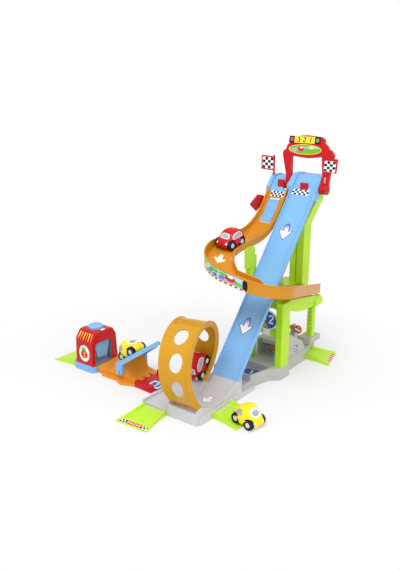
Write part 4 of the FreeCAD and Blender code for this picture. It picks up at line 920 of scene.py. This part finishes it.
def car_row(x, wide, under, belt, top, roof):
    """Ring of points round a car's body at one place along it."""
    rise = top - belt
    half = [(0, under), (wide * 0.72, under), (wide * 0.97, under + 3), (wide, (under + belt) / 2),
            (wide * 0.985, belt - 2.5), (roof + (wide - roof) * 0.35, belt + min(1.5, rise * 0.12)),
            (roof * 0.98, belt + rise * 0.45), (roof * 0.86, top - rise * 0.18),
            (roof * 0.5, top - rise * 0.02), (0, top)]
    return [(x, y, z) for y, z in half] + [(x, -y, z) for y, z in half[-2:0:-1]]


def car_shell(name, form, colour, place):
    """Rounded body with wheel arches."""
    rows = [car_row(*row) for row in CAR_ROWS[form]]
    ring = len(rows[0])
    vertices = [point for row in rows for point in row]
    faces = skin(len(rows), ring)
    for number, bulge, order in ((0, -1.2, -1), (len(rows) - 1, 1.2, 1)):
        x, _, low = rows[number][0]
        start = number * ring
        faces += [[start + side, start + (side + 1) % ring, len(vertices)][::order] for side in range(ring)]
        vertices.append((x + bulge, 0, (low + rows[number][9][2]) / 2))
    shell = piece(f"{name}_body", name, vertices, faces, [colour])
    modify(shell, "SUBSURF", levels=2, render_levels=2)
    cutters = []
    for x in (-HALF_BASE, HALF_BASE):
        for side in (-1, 1):
            for radius, start, end, height in ARCHES:
                centre = Vector((x, side * start, height)) * MM
                points, polygons = lathe([(radius, 0), (radius, end - start)], centre, (0, side, 0))
                cutters.append(([point / MM for point in points], polygons, 0))
    points, polygons, _ = merged(cutters)
    tool = piece(f"{name}_arch_tool", name, points, polygons, ["ink"])
    modify(shell, "BOOLEAN", operation="DIFFERENCE", solver="EXACT", use_self=True, object=tool)
    bpy.data.objects.remove(tool)
    clean = bmesh.new()
    clean.from_mesh(shell.data)
    bmesh.ops.recalc_face_normals(clean, faces=clean.faces[:])
    clean.to_mesh(shell.data)
    clean.free()
    shell.data.transform(place)
    shell.data.materials.clear()
    shell.data.materials.append(paint(colour))
    shell.data.polygons.foreach_set("use_smooth", [True] * len(shell.data.polygons))
    shell.data.set_sharp_from_angle(angle=math.radians(40))
    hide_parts(f"{name}_shell")
    return shell


def car_glass(name, form, shell, place):
    """Windows, white surrounds and headlamps, pressed onto the shell."""
    turn = place.to_3x3().normalized()

    def pressed(part, centre, across, shapes, reach=70, thick=2):
        face = plane(place @ Vector(centre) / MM, turn @ Vector(across), turn @ Vector((0, 0, 1)))
        press(f"{name}_{part}", shell, face, shapes, name, reach, 2.5, thick)

    for side, label in ((1, "left"), (-1, "right")):
        window = rounded([(-side * x, z) for x, z in SIDE_WINDOW[form]], 4)
        shapes = [(window, "glass", 1)]
        if form == "hatch":
            shapes.append((grown(window, 1.2), "paper", 0))
        pressed(f"{label}_window", (0, side * 34, 0), (-side, 0, 0), shapes, reach=28)
    surround, screen = [rounded(outline, 4) for outline in WINDSCREEN[form]]
    pressed("windscreen", (60, 0, 0), (0, 1, 0), [(surround, "paper", 0), (screen, "glass", 1)])
    pressed("rear_window", (-60, 0, 0), (0, -1, 0), [(oval(0, 39, 13, 4.6, 28), "glass", 0)])
    lamps = layer([oval(x, 22, 3.6, 3.0, 20) for x in (-17, 17)], "paper", 0)
    pressed("lamps", (60, 0, 0), (0, 1, 0), lamps, thick=3)


def car_wheels(name, place):
    """Two treaded tyres with hubs on each axle."""
    turn = place.to_3x3().normalized()
    for end, x in (("front", HALF_BASE), ("rear", -HALF_BASE)):
        parts = []
        for side in (-1, 1):
            centre = place @ Vector((x, side * 23, WHEEL_RADIUS))
            axis = turn @ Vector((0, side, 0))
            parts += [(*lathe(TYRE, centre, axis, 40), 0), (*lathe(HUB, centre, axis, 32), 1)]
        rod_start = place @ Vector((x, -20, WHEEL_RADIUS))
        parts.append((*lathe(ROD, rod_start, turn @ Vector((0, 1, 0)), 16), 2))
        vertices, faces, picks = merged(parts)
        paints = ["tyre", "hub", "steel"]
        wheels = piece(f"{name}_{end}_wheelset", f"{name}_{end}_axle", vertices, faces, paints, picks)
        wheels.data.set_sharp_from_angle(angle=math.radians(38))
        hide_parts(f"{name}_{end}_wheels")


# Operators

class RACETOWER_OT_stage(Operator):
    """Floor, soft light and the camera."""
    bl_idname = "race_tower.stage"
    bl_label = "Stage"

    def execute(self, context):
        context.scene.view_settings.view_transform = "Standard"
        lay_floor()
        light_sky()
        lamp("key", 42, 1.6, 16, 58)
        lamp("fill", 17, 2.2, 80, 30)
        set_camera()
        return {"FINISHED"}


class RACETOWER_OT_plastics(Operator):
    """Plastics of the frame's own pieces."""
    bl_idname = "race_tower.plastics"
    bl_label = "Moulded pieces"

    def execute(self, context):
        for row in frame["record"]["subparts"]:
            name, slot = row["node"], row["material_slot"]
            materials = frame["nodes"][name].data.materials
            materials.clear()
            materials.append(paint(NODE_PAINT.get(name) or SLOT_PAINT.get(slot, slot)))
        return {"FINISHED"}


class RACETOWER_OT_start_gate(Operator):
    """Light board, oval picture and checkered flags of the start gate."""
    bl_idname = "race_tower.start_gate"
    bl_label = "Start gate"

    def execute(self, context):
        low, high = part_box("light_board")
        board = upright(*(low + high) / 2 / MM, lean=GATE_LEAN)
        width = (high.x - low.x) / MM - 2
        tall = 20
        end = width * 0.17
        ground = panel(0, 0, width - 2 * end, tall, 0)
        shapes = [(panel(0, 0, width, tall, 2), "ink", 0), (ground, "print_yellow", 1)]
        for side, lamp_colour in ((-1, "lamp_red"), (1, "lamp_green")):
            x = side * (width / 2 - end / 2)
            shapes += [(oval(x, 0, 5.6, 5.6), "print_grey", 1), (oval(x, 0, 4.8, 4.8), lamp_colour, 2)]
        for number, x in ((3, -20), (2, 0), (1, 20)):
            shapes += digit(number, x, 0, 14, "ink", 2, 0.1)
        press("start_board_print", "light_board", board, shapes, "start_arch")
        lean = math.radians(GATE_LEAN)
        centre = Vector((-22.5, 346, 530)) + Vector((0, math.sin(lean), math.cos(lean))) * 113.5
        road = [(-44, 3), (-20, 8), (10, 9.5), (36, 7.5), (47, 3), (30, 3.5), (6, 2), (-14, -2), (-32, -8),
                (-42, -7), (-50, -2)]
        pond = [(8, 9), (24, 11), (40, 8), (48, 3), (34, 5), (18, 5)]
        shapes = nested(0, 0, (56, 15.5, "print_yellow"), (53.5, 13.6, "print_green"), count=64)
        shapes += [(rounded(road, 4), "print_grey", 2), (rounded(pond, 3), "print_sky", 3),
                   (oval(-14, 1.5, 11, 7.5), "print_red", 4), (oval(-12, 5, 5.5, 3), "paper", 5),
                   (oval(21, 5.5, 9, 4.4), "print_yellow", 4), (oval(23, 7, 4, 1.8), "paper", 5)]
        press("start_oval_picture", "start_arch", upright(*centre, lean=GATE_LEAN), shapes, "start_arch")
        flag_checks("left_flag", "tower", -172, -123.5, 573, 617)
        flag_checks("right_flag", "start_arch", 46, 92, 579, 619)
        return {"FINISHED"}


class RACETOWER_OT_lane_prints(Operator):
    """Checker strips at the start and the arrows on the lanes."""
    bl_idname = "race_tower.lane_prints"
    bl_label = "Lane prints"

    def execute(self, context):
        for name, carriers, x, y, width, depth in (
                ("right_start_checks", "start_platform", -10, 318.5, 56, 12),
                ("left_start_checks", "start_platform spiral_upper_lane", -89.5, 316.5, 46, 12)):
            shapes = [(panel(0, 0, width, depth, 0), "paper", 0), *checks(0, 0, width, depth, 7, 3, 1, 0.8)]
            press(name, carriers, plan(x, y), shapes, grid=3)
        shaded = faded("arrow_shaded", colours().paper, colours().print_violet, 0.55, 0.95)
        for name, carrier, place, size, border, ground, colour, grid in (
                ("upper_slide", "slide_upper", (-4.5, 228.5, 0, 0.66), (41, 50), 2.4, "deep", shaded, None),
                ("lower_slide", "slide_lower", (-4.5, 25, 0, 0.66), (41, 50), 2.4, "deep", shaded, None),
                ("run_out", "base_front", (-6, -153, -8), (40, 42), 1.6, "deep", "paper", None),
                ("spiral", "spiral_curve", (-82, 2, 12), (33, 34), 1.0, "yellow", "paper", 3)):
            shapes = [(arrow(*size, border), f"print_{ground}", 0), (arrow(*size), colour, 1)]
            press(f"{name}_arrow", carrier, plan(*place), shapes, grid=grid)
        return {"FINISHED"}


class RACETOWER_OT_spiral_trim(Operator):
    """Rolled rims of the spiral lane and the printed band round its bend."""
    bl_idname = "race_tower.spiral_trim"
    bl_label = "Spiral trim"

    def execute(self, context):
        for label, start, end in (("upper", 0, FIRST_JOINT), ("curve", FIRST_JOINT, SECOND_JOINT),
                                  ("exit", SECOND_JOINT, len(LANE) - 1)):
            for side, edge in ((1, "outer"), (-1, "inner")):
                line = flowing(lane_edge(start, end, side))
                sweep(f"{label}_lane_{edge}_rim", "tower", line, sizes().lane_rim, "orange")
        picture_band()
        return {"FINISHED"}


class RACETOWER_OT_loop_trim(Operator):
    """Rolled rims, joining ribs, clips and the screw of the loop."""
    bl_idname = "race_tower.loop_trim"
    bl_label = "Loop trim"

    def execute(self, context):
        edge = LOOP_HALF_WIDTH - 1.4
        for half, start, end in (("front", LOOP_SEAT + 1, 180), ("rear", 180, 359 - LOOP_SEAT)):
            angles = [start + (end - start) * number / 40 for number in range(41)]
            for side, name in ((-1, "left"), (1, "right")):
                line = [loop_point(angle, side * edge, LOOP_RADIUS + 1) for angle in angles]
                sweep(f"loop_{half}_{name}_rim", "tower", line, sizes().loop_rim, "loop_amber")
        loop_joins()
        return {"FINISHED"}


class RACETOWER_OT_garage_prints(Operator):
    """Parking sign, garage ovals, and the prints of the parking place and the connector."""
    bl_idname = "race_tower.garage_prints"
    bl_label = "Garage prints"

    def execute(self, context):
        wave = [(-30, -4), (-16, -2), (0, -12), (6, -24), (-8, -24), (-24, -15)]
        shapes = [(oval(0, 0, 32, 27, 48), "print_blue", 0), (rounded(wave, 4), "print_orange", 1),
                  (oval(-10, 4, 9, 8), "print_yellow", 1), *digit(2, 15, 4, 26, "paper", 1)]
        press("parking_sign_print", "parking_sign", upright(14, 108, 173), shapes)
        wave = [(-30, -4), (-10, 2), (14, 0), (18, -5), (0, -12), (-22, -12)]
        shapes = nested(-6, -3, (30, 19, "print_blue"), (27, 16.4, "paper"), (25, 14.6, "print_mid_blue"))
        shapes.append((rounded(wave, 4), "print_orange", 3))
        press("garage_back_print", "garage", upright(0, 180, 62), shapes)
        shapes = [(oval(0, 0, 11, 12), "print_blue", 0), (oval(-2, 0, 7, 8), "paper", 1),
                  (oval(-3, 0, 4, 5), "print_mid_blue", 2)]
        press("garage_side_print", "garage", upright(56, 214, 58, (0, 1, 0)), shapes)
        shapes = [(panel(0, 0, 46, 38, 3), "print_blue", 0), *digit(1, 0, 0, 28, "paper", 1)]
        press("parking_place_print", "base_rear", plan(-6, 62, 14), shapes)
        shapes = [(panel(0, 0, 46, 43, 3), "print_blue", 0), (panel(0, 0, 42, 39, 2), "paper", 1),
                  (panel(0, 0, 30, 28, 5), "print_blue", 2), *digit(3, 0, 0, 22, "paper", 3)]
        press("connector_print", "red_connector", plan(-184, -162), shapes)
        return {"FINISHED"}


class RACETOWER_OT_barrier(Operator):
    """Striped round sign on the barrier's arm."""
    bl_idname = "race_tower.barrier"
    bl_label = "Barrier"

    def execute(self, context):
        low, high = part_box("barrier_arm")
        radius = (high.z - low.z) / MM / 2 - 1
        face = upright(high.x / MM - radius - 1, low.y / MM, (low.z + high.z) / 2 / MM)
        shapes = nested(0, 0, (radius, radius, "print_red"), (radius - 2.6, radius - 2.6, "paper"))
        half = radius * 0.7
        for shift in (-radius * 0.45, radius * 0.5):
            low, high = shift - 2.4, shift + 2.4
            bar = [(-half, low + 2), (half, low - 3), (half, high - 3), (-half, high + 2)]
            shapes.append((rounded(bar, 1.4), "print_red", 2))
        press("barrier_disc_print", "barrier_arm", face, shapes, "barrier")
        return {"FINISHED"}


class RACETOWER_OT_ramps(Operator):
    """Finish strip and warning stripes on the floor ramps."""
    bl_idname = "race_tower.ramps"
    bl_label = "Floor ramps"

    def execute(self, context):
        shapes = [(panel(0, 0, 88, 12, 0), "paper", 0), (panel(0, 0, 50, 12, 0), "print_red", 1)]
        for x in (-34, 34):
            shapes += checks(x, 0, 20, 12, 4, 2)
        bars = [slanted(x - 2.5, x + 2, -3, 3, 1.5) for x in range(-18, 19, 9)]
        press("finish_strip", "finish_ramp", plan(-86.2, -361.5, 2.8), shapes + layer(bars, "paper", 2))
        bars = [rounded(slanted(x - 5, x + 3.5, -6, 6, 2.5), 1) for x in range(-28, 29, 14)]
        shapes = layer(bars, "print_red", 1) + [(panel(0, 0, 70, 13, 1), "paper", 0)]
        press("rear_ramp_stripes", "rear_ramp", plan(118, 334, 104.5), shapes)
        return {"FINISHED"}


class RACETOWER_OT_fittings(Operator):
    """Screws, the post's notches as flat slate marks of painted shade, the arch's slot and the puzzle tabs
    that join the floor pieces.
    """
    bl_idname = "race_tower.fittings"
    bl_label = "Fittings"

    def execute(self, context):
        screw("deck_clip_screw", (-16, 246, 243.5), (1, 0, 0))
        screw("side_beam_screw", (66, 271, 192), (1, 0, 0))
        screw("rear_base_screw", (31.3, 2.5, 28.5), (1, 0, 0))
        for number in range(3):
            screw(f"side_wall_screw_{number + 1}", (-139, -150 - number * 55, 6.5), (-1, 0, 0))
        # The right post's notches are not cut. Each is a flat slate mark, painted shade in place of a recess.
        for number, z in enumerate(range(78, 158, 13)):
            press(f"right_post_notch_{number + 1}", "right_post", upright(44, 317, z),
                  [(panel(0, 0, 5, 3, 1), "slate", 0)], reach=10, grid=5)
        press("arch_leg_slot", "start_arch", upright(57, 338, 559, lean=GATE_LEAN),
              [(panel(0, 0, 4, 18, 2), "print_grey", 0)], "start_arch", reach=20, grid=6)
        tabs("finish_tabs", "finish_ramp", plan(-90.5, -279), (-22, 0, 22), "base_grey")
        tabs("side_tabs", "side_ramp", plan(60, -168.5, 90), (-24, 0, 24), "base_grey")
        tabs("launcher_tabs", "launcher_base", plan(-399, -196, 90), (-2, 86), "orange")
        tabs("connector_tabs", "bridge_base", plan(-241, -146, 90), (-26, 0, 26), "red")
        return {"FINISHED"}


class RACETOWER_OT_launcher(Operator):
    """Badge, rays and slots of the launcher's housing, the lining of its opening and the button's coil."""
    bl_idname = "race_tower.launcher"
    bl_label = "Launcher"

    def execute(self, context):
        shapes = nested(0, 0, (22, 26, "paper"), (19.4, 23.4, "print_yellow"), (18.2, 22.2, "paper"),
                        count=48)
        shapes += [(oval(-2, 10, 10, 8.5), "print_green", 3), (oval(0, -3, 14, 12), "print_red", 4)]
        shapes += digit(1, 0, -3, 17, "print_yellow", 5)
        press("launcher_badge", "launcher_housing", upright(-430, -208, 58), shapes)
        shapes = []
        for number in range(6):
            x = -24 + number * 9.6
            lean = (number - 2.5) * 1.2
            outline = rounded([(x - 2.6, 22), (x + lean - 0.4, 0), (x + lean + 0.6, 0), (x + 2.6, 22)], 1)
            shapes.append((outline, "print_orange" if number % 2 else "print_yellow", 1))
        press("launcher_rays", "launcher_housing", upright(-430, -208, 98), shapes, grid=3)
        button_coil()
        slots = layer([panel(side * 29, 0, 9, 15, 2) for side in (-1, 1)], "paper", 0)
        press("launcher_top_slots", "launcher_housing", plan(-431, -154.5), slots)
        way_lining()
        return {"FINISHED"}


class RACETOWER_OT_cars(Operator):
    """Four plain toy cars with rounded shells, windows and turning wheels."""
    bl_idname = "race_tower.cars"
    bl_label = "Cars"

    def execute(self, context):
        for name, (form, colour) in CARS.items():
            place = car_place(name)
            shell = car_shell(name, form, colour, place)
            car_glass(name, form, shell, place)
            car_wheels(name, place)
        return {"FINISHED"}


OPERATORS = [
    RACETOWER_OT_stage, RACETOWER_OT_plastics, RACETOWER_OT_start_gate, RACETOWER_OT_lane_prints,
    RACETOWER_OT_spiral_trim, RACETOWER_OT_loop_trim, RACETOWER_OT_garage_prints, RACETOWER_OT_barrier,
    RACETOWER_OT_ramps, RACETOWER_OT_fittings, RACETOWER_OT_launcher, RACETOWER_OT_cars,
]


class RACETOWER_PT_pieces(Panel):
    """Sizes, colours and the pieces of the race tower."""
    bl_label = "Race Tower"
    bl_idname = "RACETOWER_PT_pieces"
    bl_space_type = "VIEW_3D"
    bl_region_type = "UI"
    bl_category = "Race Tower"

    def draw(self, context):
        for group in (context.scene.race_tower_sizes, context.scene.race_tower_colours):
            box = self.layout.box()
            for key in group.__annotations__:
                box.prop(group, key)
        for operator in OPERATORS:
            self.layout.operator(operator.bl_idname)


CLASSES = [RaceTowerColours, RaceTowerSizes, *OPERATORS, RACETOWER_PT_pieces]


def register():
    for entry in CLASSES:
        bpy.utils.register_class(entry)
    bpy.types.Scene.race_tower_colours = PointerProperty(type=RaceTowerColours)
    bpy.types.Scene.race_tower_sizes = PointerProperty(type=RaceTowerSizes)


def unregister():
    del bpy.types.Scene.race_tower_sizes
    del bpy.types.Scene.race_tower_colours
    for entry in reversed(CLASSES):
        bpy.utils.unregister_class(entry)


def main():
    register()
    for operator in OPERATORS:
        group, name = operator.bl_idname.split(".")
        getattr(getattr(bpy.ops, group), name)()


if __name__ == "__main__":
    main()
